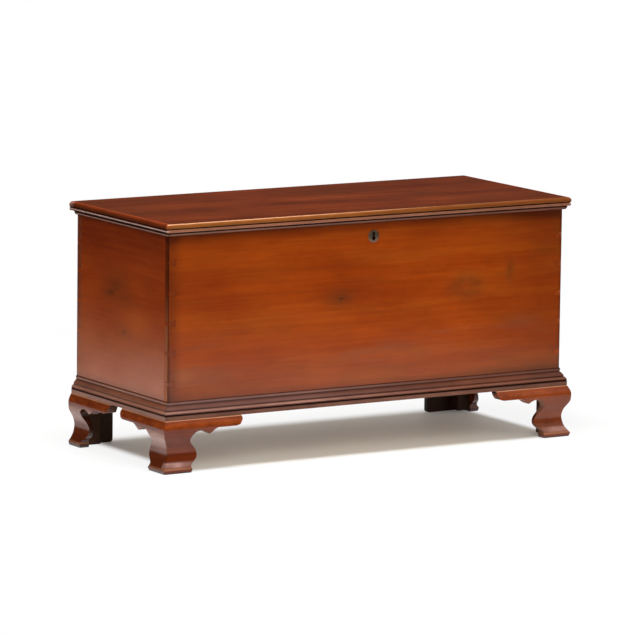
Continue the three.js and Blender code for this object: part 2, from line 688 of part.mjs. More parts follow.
// Lid: one board whose front and ends are worked with a bead, a quirk and a rounded top edge
function lidEdge() {
  const edge = scaled(lidBeadShares, lidOverhang, lidThickness).map(([p, z]) => [p, lidLevel + z]);
  const steps = roundSides / 2;
  for (let i = 0; i <= steps; i++) {
    const angle = (i / steps) * Math.PI / 2;
    edge.push([lidOverhang - lidRound * (1 - Math.cos(angle)), lidTop - lidRound * (1 - Math.sin(angle))]);
  }
  return edge;
}
const lidBack = halfDepth + lidRearOverhang;
const lidAcross = shapeOf([
  [lidBack, lidTop], [lidBack, lidLevel], ...lidEdge().map(([p, z]) => [-halfDepth - p, z])]);
const lidAlong = shapeOf([
  ...lidEdge().map(([p, z]) => [halfWidth + p, z]),
  ...lidEdge().map(([p, z]) => [-halfWidth - p, z]).reverse()]);
const lidReach = halfWidth + lidOverhang + overrun;
const lidBoard = common(alongX(lidAcross, [-lidReach, lidReach]),
  alongY(lidAlong, [-halfDepth - lidOverhang - overrun, lidBack + overrun]));
add('lid_board', cut(lidBoard, [...lidHingeCuts, ...catchCuts]), lidCherry);

export default chest;
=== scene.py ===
import json
import math
from collections import namedtuple
from functools import partialmethod, reduce

import bmesh
import bpy
import numpy as np
from mathutils import Matrix, Vector


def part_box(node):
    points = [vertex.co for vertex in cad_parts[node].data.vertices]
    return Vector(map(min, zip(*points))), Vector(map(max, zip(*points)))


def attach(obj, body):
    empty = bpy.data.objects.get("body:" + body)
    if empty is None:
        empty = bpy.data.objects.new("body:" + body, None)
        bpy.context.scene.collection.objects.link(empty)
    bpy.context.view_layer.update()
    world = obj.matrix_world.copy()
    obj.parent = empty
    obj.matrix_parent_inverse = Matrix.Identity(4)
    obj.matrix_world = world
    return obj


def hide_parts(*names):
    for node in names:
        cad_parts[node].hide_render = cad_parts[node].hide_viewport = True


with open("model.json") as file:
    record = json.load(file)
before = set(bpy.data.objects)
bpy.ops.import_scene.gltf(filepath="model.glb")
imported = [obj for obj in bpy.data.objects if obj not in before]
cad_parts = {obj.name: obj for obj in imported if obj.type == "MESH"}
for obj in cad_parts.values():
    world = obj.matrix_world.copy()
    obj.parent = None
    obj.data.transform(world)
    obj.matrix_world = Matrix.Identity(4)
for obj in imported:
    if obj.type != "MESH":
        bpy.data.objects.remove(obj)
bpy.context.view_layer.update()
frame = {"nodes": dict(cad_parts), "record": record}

nodes = frame["nodes"]
groups = frame["record"]["behaviour"]["bodies"]
bodyOf = {node: body for body, members in groups.items() for node in members}
mm = 0.001

caseLow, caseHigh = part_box("left_end_board")[0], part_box("right_end_board")[1]
lidLow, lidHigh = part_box("lid_board")
frontFace, backFace = caseLow[1], caseHigh[1]
leftFace, rightFace = caseLow[0], caseHigh[0]
halfDepth, midDepth = (backFace - frontFace) / 2, (backFace + frontFace) / 2
rimLevel = caseHigh[2]
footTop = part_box("foot_front_left_face")[1][2]
baseLow, moulded = (corner[2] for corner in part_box("base_moulding_front"))
baseHeight = moulded - baseLow
plateLow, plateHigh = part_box("escutcheon")
plateMiddle = ((plateLow[0] + plateHigh[0]) / 2, (plateLow[2] + plateHigh[2]) / 2)


# Camera: the photograph's place, found from the chest's corners and long edges

shot = {
    "azimuth": -31.71,  # degrees round the chest from straight in front
    "elevation": 8.74,
    "roll": 0.74,
    "distance": 14.457,  # metres
    "focalPixels": 5356,  # in a picture 635 pixels wide
    "pictureWidth": 635,
    "target": (-0.0093, midDepth, 0.3351),
}


def towards(azimuth, elevation):
    # unit vector from the chest to the camera
    a, e = math.radians(azimuth), math.radians(elevation)
    return Vector((math.sin(a) * math.cos(e), -math.cos(a) * math.cos(e), math.sin(e)))


def placed(name, data):
    made = bpy.data.objects.new(name, data)
    bpy.context.scene.collection.objects.link(made)
    return made


def makeCamera():
    back = towards(shot["azimuth"], shot["elevation"])
    right = (-back).cross(Vector((0, 0, 1))).normalized()
    up = right.cross(-back)
    roll = math.radians(shot["roll"])
    tilted = math.cos(roll) * right + math.sin(roll) * up
    upright = math.cos(roll) * up - math.sin(roll) * right
    data = bpy.data.cameras.new("camera")
    data.sensor_width = 36
    data.lens = data.sensor_width * shot["focalPixels"] / shot["pictureWidth"]
    data.clip_start, data.clip_end = 0.1, 60
    camera = placed("camera", data)
    place = Matrix((tilted, upright, back)).transposed().to_4x4()
    place.translation = Vector(shot["target"]) + shot["distance"] * back
    camera.matrix_world = place
    bpy.context.scene.camera = camera


makeCamera()


# Shader writing: a Wire is one socket that Python arithmetic can be done on

class Wire:
    def __init__(self, sheet, socket):
        self.sheet, self.socket = sheet, socket

    def maths(self, operation, *others):
        inputs = {0: self, **{i + 1: other for i, other in enumerate(others)}}
        return self.sheet.node("Math", inputs, {"operation": operation})

    atLeast, atMost = partialmethod(maths, "MAXIMUM"), partialmethod(maths, "MINIMUM")
    __add__ = __radd__ = partialmethod(maths, "ADD")
    __mul__ = __rmul__ = partialmethod(maths, "MULTIPLY")
    __sub__, __truediv__ = partialmethod(maths, "SUBTRACT"), partialmethod(maths, "DIVIDE")
    __pow__, __abs__ = partialmethod(maths, "POWER"), partialmethod(maths, "ABSOLUTE")

    def __rsub__(self, other):
        return self * -1 + other


def strongest(wires):
    return reduce(Wire.atLeast, wires)


class Sheet:
    def __init__(self, tree):
        self.tree = tree
        tree.nodes.clear()

    def node(self, kind, inputs=None, settings=None, out=0):
        made = self.tree.nodes.new("ShaderNode" + kind)
        for key, value in (settings or {}).items():
            if key == "stops":
                elements = made.color_ramp.elements
                while len(elements) < len(value):
                    elements.new(1)
                for element, (position, colour) in zip(elements, value):
                    element.position, element.color = position, colour
            else:
                setattr(made, key, value)
        for key, value in (inputs or {}).items():
            if isinstance(value, Wire):
                self.tree.links.new(value.socket, made.inputs[key])
            else:
                made.inputs[key].default_value = value
        return Wire(self, made.outputs[out]) if made.outputs else None

    def coordinates(self, kind):
        # x, y and z of the object's own places ("Object") or of its faces' directions ("Normal")
        vector = self.node("TexCoord", out=kind)
        return [self.node("SeparateXYZ", {0: vector}, out=i) for i in range(3)]

    def rays(self):
        # what the camera sees, what gloss mirrors and what shines through
        return (self.node("LightPath", out=kind)
                for kind in ("Is Camera Ray", "Is Glossy Ray", "Is Transmission Ray"))

    def noise(self, place, waves, shift=(0, 0, 0), detail=3, roughness=0.55):
        # so many waves in a metre along each axis, moved along by the shift
        x, y, z = (axis * wave + by if by else axis * wave for axis, wave, by in zip(place, waves, shift))
        vector = self.node("CombineXYZ", {0: x, 1: y, 2: z})
        return self.node(
            "TexNoise", {"Vector": vector, "Scale": 1, "Detail": detail, "Roughness": roughness})

    def step(self, value, low, high):
        # rises smoothly from 0 at low to 1 at high, and falls where low is above high
        return self.node("MapRange", {"Value": value, "From Min": low, "From Max": high},
                         {"interpolation_type": "SMOOTHSTEP"})

    def band(self, value, middle, half, soft):
        # 1 within half of middle, falling to 0 over soft on both sides
        return self.step(abs(value - middle), half + soft, half)

    def region(self, place, spans):
        # a soft region: each axis in it has where it starts and where it is full, "by" is its strength
        here = spans.get("by", 1)
        for axis, along in zip("xyz", place):
            if axis in spans:
                here = self.step(along, *spans[axis]) * here
        return here

    def reader(self, place, age):
        # finds a soft region by its name
        return lambda name: self.region(place, age[name])

    def regions(self, place, listed):
        # several soft regions added up
        first, *rest = (self.region(place, spans) for spans in listed)
        return sum(rest, first)

    def blotches(self, place, waves, span, shift=(0, 0, 0), detail=4):
        # patches where the noise is over the span's first value, full over its second
        return self.step(self.noise(place, waves, shift, detail, 0.6), *span)

    def spot(self, u, v, centre, reach):
        # 1 at the centre, falling away as a bell does
        across, up = (u - centre[0]) / reach[0], (v - centre[1]) / reach[1]
        return ((across * across + up * up) * -1).maths("EXPONENT")

    def facing(self, axis, low, high):
        # 1 on faces that look along an axis, either way
        return self.step(abs(self.coordinates("Normal")[axis]), low, high)

    def coats(self, colour, *laid):
        # tints laid over a colour one after the other, each by its own amount of 0 to 1
        for amount, tint in laid:
            colour = self.node("Mix", {0: amount, 6: colour, 7: tint}, {"data_type": "RGBA"}, out=2)
        return colour

    def tinted(self, colour, age, **amounts):
        # coats of the tints that the amounts are named after
        return self.coats(colour, *((amount, age[name]) for name, amount in amounts.items()))

    def ramp(self, factor, stops):
        return self.node("ValToRGB", {0: factor}, {"stops": stops})


def rgb(red, green, blue):
    # a screen colour of 0 to 255 as scene-linear values, with its alpha
    def linear(value):
        share = value / 255
        return share / 12.92 if share <= 0.04045 else ((share + 0.055) / 1.055) ** 2.4
    return (linear(red), linear(green), linear(blue), 1)


def newMaterial(name):
    material = bpy.data.materials.new(name)
    material.use_nodes = True
    sheet = Sheet(material.node_tree)
    return material, sheet, sheet.coordinates("Object")


def surface(sheet, colour, roughness, relief, depth, strength, others):
    # relief is a height of 0 to 1, depth how many metres that is
    bump = sheet.node("Bump", {"Height": relief, "Distance": depth, "Strength": strength})
    inputs = {"Base Color": colour, "Roughness": roughness, "Normal": bump, **others}
    shader = sheet.node("BsdfPrincipled", inputs)
    sheet.node("OutputMaterial", {"Surface": shader})


# Wood: grain runs along one axis, its bands are stretched noise across it, bent round the knots

grain = {
    # waves in a metre along the grain, across it and through the board
    "drift": (0.9, 2.4, 2), "bands": (0.6, 11, 3), "clouds": (4.5, 9, 3),
    "streaks": (3.4, 95, 8), "fibres": (22, 620, 40),
    "ragged": (34, 60, 0), "astray": (13, 22, 0), "pores": (300, 300, 300),
    "halo": rgb(74, 42, 18), "core": rgb(40, 15, 7),
    "spread": 2.6,  # how far the tones are drawn apart
    "poreDark": 0.72,
    "relief": 0.3 * mm, "reliefStrength": 0.25,
}


def woodGrain(sheet, straight, knots, sway, seed):
    # returns the tone (0 dark to 1 light), the fibres, the streaks, and the knots' halos and cores
    along, across, depth = straight
    drift = sheet.noise(straight, grain["drift"], (seed, 0, seed), detail=2)
    bent = across + (drift - 0.5) * sway
    halos, cores = [], []
    if knots:
        ragged = sheet.noise(straight, grain["ragged"], (0, 0, seed), detail=4, roughness=0.65)
        astray = sheet.noise(straight, grain["astray"], (3, 0, seed), detail=2)
    for knot in knots:
        du = (along - knot.along) / knot.stretch + (astray - 0.5) * knot.reach * 1.1
        dv = across - knot.across + (ragged - 0.5) * knot.reach * 0.7
        far = (du * du + dv * dv) ** 0.5
        reach = (far * far) / knot.reach ** 2
        pull = (reach * -1).maths("EXPONENT")
        bent = bent - dv * pull * knot.pull
        # a hollow knot is ringed: its halo is faint in the middle
        ring = pull * ((reach * 2.2) * knot.hollow + (1 - knot.hollow))
        halos.append(ring * (ragged * 1.5 + 0.2) * knot.halo)
        uneven = far + (ragged - 0.5) * knot.core * 1.4
        cores.append(sheet.step(uneven, knot.core, knot.core * 0.3) * knot.dark)
    curved = (along, bent, depth)
    bands = sheet.noise(curved, grain["bands"], (seed, 0, seed))
    clouds = sheet.noise(curved, grain["clouds"], (0, seed, 0), detail=4, roughness=0.62)
    streaks = sheet.noise(curved, grain["streaks"], (0, seed, 0), detail=4, roughness=0.65)
    fibres = sheet.noise(curved, grain["fibres"], (0, 0, seed), detail=2, roughness=0.6)
    tone = bands * 0.32 + clouds * 0.34 + streaks * 0.24 + fibres * 0.1
    return tone, fibres, streaks, halos, cores


def woodMaterial(name, axes, shades, endTone, seed, knots=(), sway=0.03, contrast=1, roughness=0.5,
                 specular=0, coatRoughness=0.16, shade=None, wear=None, polish=None):
    # axes are those along the grain, across it and through the board
    material, sheet, place = newMaterial(name)
    straight = [place[i] for i in axes]
    tone, fibres, streaks, halos, cores = woodGrain(sheet, straight, knots, sway, seed)
    tone = (tone - 0.5) * contrast * grain["spread"] + 0.5
    tones = woodTones[shades]
    colour = sheet.ramp(tone, [(i / (len(tones) - 1), rgb(*each)) for i, each in enumerate(tones)])
    if knots:
        colour = sheet.tinted(colour, grain, halo=strongest(halos).atMost(0.8), core=strongest(cores))
    poreTone = [value * grain["poreDark"] for value in endTone]
    cut = sheet.ramp(sheet.noise(place, grain["pores"]), [(0.3, rgb(*poreTone)), (0.6, rgb(*endTone))])
    colour = sheet.coats(colour, (sheet.facing(axes[0], 0.55, 0.8), cut))
    if shade:
        colour = shade(sheet, place, colour)
    gloss = (fibres - 0.5) * 0.12 + (streaks - 0.5) * 0.08 + roughness
    if wear:
        worn, wornColour = wear(sheet, place)
        colour = sheet.coats(colour, (worn, wornColour))
        gloss = gloss + worn * 0.15
    coat = polish(sheet, place) if polish else 0
    surface(sheet, colour, gloss, fibres * 0.6 + streaks * 0.4, grain["relief"], grain["reliefStrength"],
            {"Coat Weight": coat, "Coat Roughness": coatRoughness, "Specular IOR Level": specular})
    return material


def outerFace(sheet):
    # faces that look left or right
    return sheet.facing(0, 0.5, 0.9)


def levelFace(sheet):
    # faces that look up or down
    return sheet.facing(2, 0.6, 0.9)


# Colour on the case: painted shade under the rim moulding, just above the base moulding, towards the left end
# and on faces that look up or down; dark at the corners, paler low down, golden and dull in streaks

caseAge = {
    "dark": rgb(56, 20, 7), "darkMost": 0.85, "levelDark": 0.7,
    "darker": [
        # painted shade under the rim moulding, deeper towards the right, and just above the base moulding
        {"z": (rimLevel - 0.045, rimLevel - 0.01), "by": 0.65},
        {"z": (rimLevel - 0.11, rimLevel - 0.03), "x": (-0.05, 0.25), "by": 0.16},
        {"z": (moulded + 0.022, moulded), "by": 0.3},
        {"x": (rightFace - 0.012, rightFace), "by": 0.35},
        {"x": (leftFace + 0.048, leftFace), "by": 0.42},
        {"x": (leftFace + 0.008, leftFace + 0.003), "z": (0.4, 0.25), "by": 0.3},
        # darker towards the right end, and painted shade towards the left end
        {"x": (0.28, 0.6), "by": 0.3},
        {"x": (-0.12, -0.5), "by": 0.15}],
    # paler and browner towards the bottom
    "faded": rgb(117, 70, 44), "fadedLow": {"z": (0.32, 0.155), "by": 0.34},
    "patch": rgb(180, 112, 52), "patchSpot": {"centre": (-0.571, 0.2535), "reach": (0.032, 0.019)},
    "olive": rgb(104, 58, 16), "oliveRight": {"x": (-0.3, 0.5), "by": 0.4},
    "oliveStreaks": {"waves": (2.6, 2.6, 11), "shift": (0, 0, 4), "detail": 3, "span": (0.45, 0.68)},
    "golden": rgb(162, 86, 20),
    "goldenStreaks": {"waves": (2.2, 2.2, 26), "shift": (3, 0, 0), "span": (0.48, 0.7)},
    "dull": rgb(118, 64, 44), "dullLow": {"z": (0.44, 0.3), "by": 0.38},
    "dullStreaks": {"waves": (2.4, 2.4, 15), "shift": (0, 0, 8), "span": (0.48, 0.66)},
    # rosy low down: a painted reflection of the floor
    "rosy": rgb(172, 104, 70), "rosyLow": {"z": (0.52, 0.24)},  # on the end grain
    "cornerLine": {"y": (frontFace + 0.0065, frontFace + 0.003), "by": 0.85},
    "dullEnds": (rightFace - 0.0012, rightFace - 0.0006),
    # the keyhole's near black wall is painted shade
    "keyhole": rgb(10, 6, 4), "keyholeReach": (0.016, 0.0144),
    "keyholeWall": {"y": (frontFace + 0.0004, frontFace + 0.002)},
}


def caseShade(sheet, place, colour):
    age, at = caseAge, sheet.reader(place, caseAge)
    cloud = sheet.noise(place, (3, 3, 3))
    dark = sheet.regions(place, age["darker"]) * (cloud * 0.9 + 0.4)
    # painted shade on faces that look up or down
    dark = dark.atLeast(levelFace(sheet) * age["levelDark"])
    patch = sheet.spot(place[0], place[2], **age["patchSpot"]) * 0.24
    olive = sheet.blotches(place, **age["oliveStreaks"]) * (at("oliveRight") + 0.15)
    golden = sheet.blotches(place, **age["goldenStreaks"]) * 0.2
    dull = sheet.blotches(place, **age["dullStreaks"]) * at("dullLow")
    # the board's end grain shows on the ends: it is rosy low down, a painted reflection of the floor, all but
    # a dark line at the corner
    outer = outerFace(sheet)
    rosy = outer * at("rosyLow") * (cloud * 0.7 + 0.3)
    # painted shade: the wall of the keyhole through the board is near black
    far = ((place[0] - plateMiddle[0]) ** 2 + (place[2] - plateMiddle[1]) ** 2) ** 0.5
    keyholeShade = sheet.step(far, *age["keyholeReach"]) * at("keyholeWall")
    colour = sheet.tinted(colour, age, faded=at("fadedLow"), patch=patch, olive=olive, golden=golden,
                          dull=dull, dark=dark.atMost(age["darkMost"]), rosy=rosy)
    return sheet.tinted(colour, age, dark=outer * at("cornerLine"), keyhole=keyholeShade)


def casePolish(sheet, place):
    # the front board's end grain, at the corners, is dull
    return (1 - sheet.step(abs(place[0]), *caseAge["dullEnds"]) * 0.8) * 0.7


# Colour on the ends: rosy low down as a painted reflection of the floor, painted shade under the rim moulding
# and above the base moulding, golden in one place, with the front joint's dark strip

endAge = {
    "darkMost": 0.9, "levelDark": 0.7,
    "darker": [
        # painted shade: darker towards the top under the rim moulding, and just above the base moulding
        {"z": (rimLevel - 0.3, rimLevel - 0.012), "by": 0.2},
        {"z": (rimLevel - 0.03, rimLevel - 0.012), "by": 0.3},
        {"z": (moulded + 0.022, moulded), "by": 0.3}],
    "strip": {"y": (frontFace + 0.0245, frontFace + 0.0165), "by": 0.86},
    "stripWorn": {"z": (0.5, 0.38), "by": 0.62},
    "frontArris": {"y": (frontFace + 0.005, frontFace + 0.002), "by": 0.9},
    "rearArris": {"y": (backFace - 0.008, backFace - 0.004), "by": 0.3},
    "jointDark": 0.92, "jointWaves": (8, 8, 22),
    "pins": {"y": (frontFace + 0.001, frontFace + 0.0004), "x": (0, -0.1), "by": 0.42},
    # rosy low down: a painted reflection of the floor, stronger towards the rear
    "rosyLow": {"z": (0.46, 0.19)}, "rosyRear": {"y": (0, 0.2), "by": 0.12},
    "glow": rgb(172, 84, 30), "glowSpot": {"centre": (-0.075, 0.373), "reach": (0.09, 0.036)},
}


def jointStrip(sheet, place):
    # the front board's end grain, worn thin lower down, and a dark arris at both edges
    at = sheet.reader(place, endAge)
    strip = at("strip") * (1 - at("stripWorn"))
    return strip.atLeast(at("frontArris")).atLeast(at("rearArris"))


def endShade(sheet, place, colour):
    age, at = endAge, sheet.reader(place, endAge)
    outer = outerFace(sheet)
    cloud = sheet.noise(place, (3, 5, 9), detail=4, roughness=0.6)
    # rosy low down: a painted reflection of the floor
    low = at("rosyLow") * outer * (cloud * 0.9 + 0.05 + at("rosyRear"))
    glow = sheet.spot(place[1], place[2], **age["glowSpot"]) * outer * (cloud * 0.7 + 0.05)
    dark = sheet.regions(place, age["darker"]) * (cloud * 0.9 + 0.4)
    worn = sheet.noise(place, age["jointWaves"], detail=4) * 0.5 + 0.7
    dark = dark.atLeast(jointStrip(sheet, place) * outer * age["jointDark"] * worn)
    dark = dark.atLeast(at("pins") * (1 - outer))
    # painted shade on faces that look up or down
    dark = dark.atLeast(levelFace(sheet) * age["levelDark"])
    colour = sheet.coats(colour, (low, caseAge["rosy"]), (glow, age["glow"]))
    return sheet.tinted(colour, caseAge, dark=dark.atMost(age["darkMost"]))


def endPolish(sheet, place):
    # little on the strip
    return 0.9 - jointStrip(sheet, place) * outerFace(sheet) * 0.75


def backShade(sheet, place, colour):
    # the back board's pins show on the ends, and are coloured as the ends are
    return sheet.coats(colour, (outerFace(sheet), endShade(sheet, place, colour)))


def backPolish(sheet, place):
    return outerFace(sheet) * 0.9


Knot = namedtuple("Knot", "along across core reach dark halo pull stretch hollow",
                  defaults=(0.9, 0.25, 0.5, 1.7, 0))

# Screen colours from a wood's darkest grain to its lightest

woodTones = {
    "front": [(98, 31, 3), (126, 46, 4), (146, 60, 7), (161, 79, 18)],
    "end": [(99, 30, 4), (126, 44, 6), (145, 57, 11), (159, 72, 20)],
    "lid": [(46, 15, 7), (68, 26, 11), (86, 35, 14), (106, 48, 21)],
    "trim": [(48, 20, 9), (68, 30, 13), (88, 42, 21), (106, 56, 33)],
    # the ends' trim and rail are lighter than the front's: painted light, for the floor's reflection on the
    # ends
    "sideTrim": [(74, 36, 22), (104, 55, 34), (126, 72, 47), (146, 88, 61)],
    "rail": [(56, 32, 24), (82, 51, 39), (104, 68, 54), (124, 84, 68)],
    "sideRail": [(82, 52, 42), (114, 75, 61), (138, 96, 80), (156, 113, 96)],
    "foot": [(66, 22, 7), (94, 36, 11), (116, 48, 15), (136, 63, 24)],
    "pine": [(110, 78, 48), (140, 103, 65), (160, 122, 79), (178, 140, 96)],
    "rear": [(34, 19, 11), (50, 29, 17), (64, 39, 23), (78, 49, 30)],
}
frontKnots = [
    Knot(-0.0914, 0.4268, 0.006, 0.024, dark=0.55, halo=0.55, stretch=1.9),
    Knot(0.3106, 0.4323, 0.004, 0.022, dark=0.3, halo=0.62, pull=0.8, stretch=1.6, hollow=0.75),
    Knot(0.4486, 0.4668, 0.0085, 0.03, dark=0.34, halo=0.5, pull=0.3, stretch=0.45),
    Knot(-0.33, 0.31, 0.003, 0.014, dark=0.2, halo=0.05, pull=0.4),
]
endKnots = [
    Knot(0.038, 0.46, 0.002, 0.036, dark=0, halo=0.5, stretch=1.8),
    Knot(0.068, 0.437, 0.0095, 0.02, dark=0.3, halo=0.52, stretch=2.1),
    Knot(0.015, 0.433, 0.002, 0.028, dark=0, halo=0.34, stretch=2.2),
    Knot(0.001, 0.338, 0.0072, 0.013, dark=0.6, halo=0.42, stretch=2.4, hollow=0.4),
]

frontWood = woodMaterial("frontWood", (0, 2, 1), "front", (104, 42, 14), 1.7, frontKnots,
                         contrast=0.85, shade=caseShade, polish=casePolish)
endWood = woodMaterial("endWood", (1, 2, 0), "end", (138, 56, 11), 4.1, endKnots,
                       contrast=0.85, shade=endShade, polish=endPolish)
backWood = woodMaterial("backWood", (0, 2, 1), "pine", (126, 50, 12), 8.3,
                        contrast=0.8, roughness=0.7, specular=0.1, shade=backShade, polish=backPolish)
plankWood = woodMaterial("plankWood", (0, 1, 2), "pine", (104, 76, 46), 12.9,
                         contrast=0.8, roughness=0.75, specular=0.2)
blockWood = woodMaterial("blockWood", (2, 0, 1), "rear", (34, 20, 12), 3.3,
                         contrast=0.7, roughness=0.7, specular=0.2)
rearWood = woodMaterial("rearWood", (0, 2, 1), "rear", (40, 24, 14), 6.6,
                        contrast=0.7, roughness=0.6, specular=0.25)


# Colour on the lid: the finish is rubbed off the top arris and thin below it; the bead is pale, partly a
# painted reflection of the floor

lidAge = {
    # the quirk, parting, nosing and beads are levels above the lid's underside
    "rubbed": rgb(194, 146, 112),
    "arrisDepth": 0.0014, "arrisMore": 0.0012,  # how deep it is rubbed, and how much deeper at the left
    "arrisFront": {"y": (lidLow[1] + 0.007, lidLow[1] + 0.0042)},
    "rubbedLeft": {"x": (0.45, -0.5)},
    "rubbedCorner": {"x": (lidLow[0] + 0.03, lidLow[0] + 0.01), "by": 0.3},
    # soot and painted shade in the quirk and along the parting
    "soot": rgb(16, 7, 4), "quirk": (0.0102, 0.0013, 0.0008),
    "parting": (0.0021, 0.0012), "endSoot": 0.0018,  # how much higher it reaches on the ends
    "front": {"y": (lidLow[1] + 0.0075, lidLow[1] + 0.0045)},
    "ends": {"x": (lidHigh[0] - 0.0085, lidHigh[0] - 0.0055)},
    "left": {"x": (0.5, -0.5)},
    "patina": rgb(58, 28, 12), "farLeft": {"x": (-0.4, -0.6), "y": (-0.15, 0.05), "by": 0.3},
    "patinaPatches": {"waves": (2.2, 4.5, 0), "shift": (5, 0, 0), "detail": 3, "span": (0.46, 0.66)},
    "golden": rgb(140, 84, 38), "nosing": (0.0101, 0.0112),
    "endArris": rgb(128, 52, 22), "arrisIn": {"x": (lidHigh[0] - 0.0125, lidHigh[0] - 0.01)},
    "arrisTop": {"z": (lidHigh[2] - 0.004, lidHigh[2] - 0.002)},
    "arrisOut": {"x": (lidHigh[0] - 0.005, lidHigh[0] - 0.0085)},
    # pale is the rubbed rear corner and the painted reflection along the ends' bead; the bead's tint is
    # partly a painted reflection
    "pale": rgb(208, 166, 152), "rearCorner": {"y": (lidHigh[1] - 0.03, lidHigh[1] - 0.008), "by": 0.5},
    "bead": rgb(164, 106, 76), "beadTop": (0.009, 0.00837), "endBead": (0.0052, 0.001, 0.0013),
    "gloss": {"z": (lidLow[2] + 0.014, lidLow[2] + 0.009), "by": 0.85}, "topGloss": 0.025,
}


def lidWear(sheet, place):
    # a rubbed line along the front's top arris, deepest at the left corner
    at = sheet.reader(place, lidAge)
    left = at("rubbedLeft")
    below = (lidHigh[2] - place[2]) / (left * lidAge["arrisMore"] + lidAge["arrisDepth"])
    patches = sheet.noise(place, (7, 7, 30), detail=4, roughness=0.7)
    grazes = sheet.noise(place, (40, 40, 160), roughness=0.6)
    rub = sheet.step(patches * 0.6 + grazes * 0.4 + left * 0.22, 0.34, 0.66)
    line = at("arrisFront") * sheet.step(below, 1.15, 0.55)
    return line * rub * (left * 0.38 + 0.45 + at("rubbedCorner")), lidAge["rubbed"]


def lidSootAndShade(sheet, place):
    # soot and painted shade in the quirk and along the parting, which is broader on the ends
    up = place[2] - lidLow[2]
    quirk = sheet.band(up, *lidAge["quirk"])
    ends = sheet.step(abs(place[0]), *lidAge["ends"]["x"])
    parting = sheet.step(up - ends * lidAge["endSoot"], *lidAge["parting"])
    return quirk.atLeast(parting) * (1 - levelFace(sheet) * 0.85)


def lidShade(sheet, place, colour):
    age, at = lidAge, sheet.reader(place, lidAge)
    atSides = sheet.reader((abs(place[0]), *place[1:]), lidAge)
    up = place[2] - lidLow[2]
    front, left, ends = at("front"), at("left"), atSides("ends")
    cloud = sheet.noise(place, (11, 11, 60), detail=4, roughness=0.65)
    # the top has darkened in broad patches
    broad = sheet.blotches(place, **age["patinaPatches"]) * 0.34 + at("farLeft")
    # the nosing is golden on the front, and the ends keep a rubbed line on their arris
    nosing = sheet.step(up, *age["nosing"])
    golden = front * nosing * (cloud * 0.9 + 0.35) * (left * 0.35 + 0.45)
    arris = atSides("arrisIn") * atSides("arrisOut") * at("arrisTop")
    arris = arris.atLeast(ends * nosing * 0.42)
    corner = ends * at("rearCorner") * (cloud * 1.2 - 0.15)
    # the bead under them is pale on the front, partly a painted reflection of the floor, and the pale line
    # along the ends' bead is a painted reflection
    bead = front * sheet.step(up, *age["beadTop"]) * (cloud * 0.8 + 0.3) * (left * 0.25 + 0.65)
    under = sheet.band(up, *age["endBead"]) * ends * (cloud * 0.7 + 0.45)
    soot = lidSootAndShade(sheet, place) * front.atLeast(ends) * 0.92
    colour = sheet.tinted(colour, age, patina=broad, golden=golden.atMost(0.9),
                          endArris=(arris * cloud * 1.5).atMost(0.8), pale=corner, bead=bead)
    return sheet.tinted(colour, age, pale=under.atMost(0.85), soot=soot)


def lidPolish(sheet, place):
    # the top is dull, the moulded edge below its nosing keeps its gloss
    edge = sheet.region(place, lidAge["gloss"]) + lidAge["topGloss"]
    return edge * (1 - lidSootAndShade(sheet, place) * 0.9)


lidWood = woodMaterial("lidWood", (0, 1, 2), "lid", (66, 24, 11), 21,
                       contrast=0.95, roughness=0.6, coatRoughness=0.22,
                       shade=lidShade, wear=lidWear, polish=lidPolish)


# Mouldings and rails: soot and painted shade in the quirks and joints, painted highlights on the proud edges

trimAge = {
    # level bands: the middle, the half height, the softness and the strength
    "sootBands": [
        (baseLow + 0.72 * baseHeight, 0.0006, 0.0009, 0.5),
        (baseLow + 0.335 * baseHeight, 0.0005, 0.0009, 0.45),
        (baseLow, 0.0014, 0.0012, 1),
        (rimLevel, 0.0022, 0.001, 1),
        (moulded, 0.001, 0.001, 0.6)],
    "proudBands": [
        (baseLow + 0.86 * baseHeight, 0.0014, 0.0016, 0.28),
        (baseLow + 0.5 * baseHeight, 0.0016, 0.003, 0.14),
        (baseLow + 0.2 * baseHeight, 0.0014, 0.002, 0.62),
        (rimLevel - 0.005, 0.0012, 0.0014, 0.32)],
    "endRimBand": (rimLevel - 0.0088, 0.001, 0.0012, 0.75),
    "endRimTop": {"z": (rimLevel - 0.0052, rimLevel - 0.0036), "by": 0.9},
    "ends": (rightFace, rightFace + 0.002),
    "cleanTop": {"z": (rimLevel - 0.004, rimLevel - 0.002), "by": 0.75},
    "left": {"x": (0.35, -0.4)},
    # grey on the front's left: a painted reflection
    "grey": rgb(86, 56, 50),
    "greyFront": {"y": (frontFace, frontFace - 0.001), "z": (rimLevel - 0.1, moulded + 0.02), "by": 0.75},
    # proud is the tint of the painted highlights
    "proud": rgb(168, 122, 104), "soot": rgb(16, 8, 5),
    "rimDull": {"z": (rimLevel - 0.05, rimLevel - 0.02), "by": -0.4}, "gloss": 0.85,
    "joint": (baseLow - 0.0036, baseLow - 0.0018), "jointDark": 0.9,
}


def marked(sheet, z, bands):
    # the strongest of several level bands
    return strongest(sheet.band(z, *band) * strength for *band, strength in bands)


def trimSootAndShade(sheet, place):
    # soot and painted shade in the quirks, and painted shade on the end rims all but a line along their swell
    at = sheet.reader(place, trimAge)
    ends = sheet.step(abs(place[0]), *trimAge["ends"])
    rim = at("endRimTop").atLeast(marked(sheet, place[2], [trimAge["endRimBand"]]))
    clean = 1 - at("cleanTop") * levelFace(sheet)
    return marked(sheet, place[2], trimAge["sootBands"]).atLeast(rim * ends) * clean


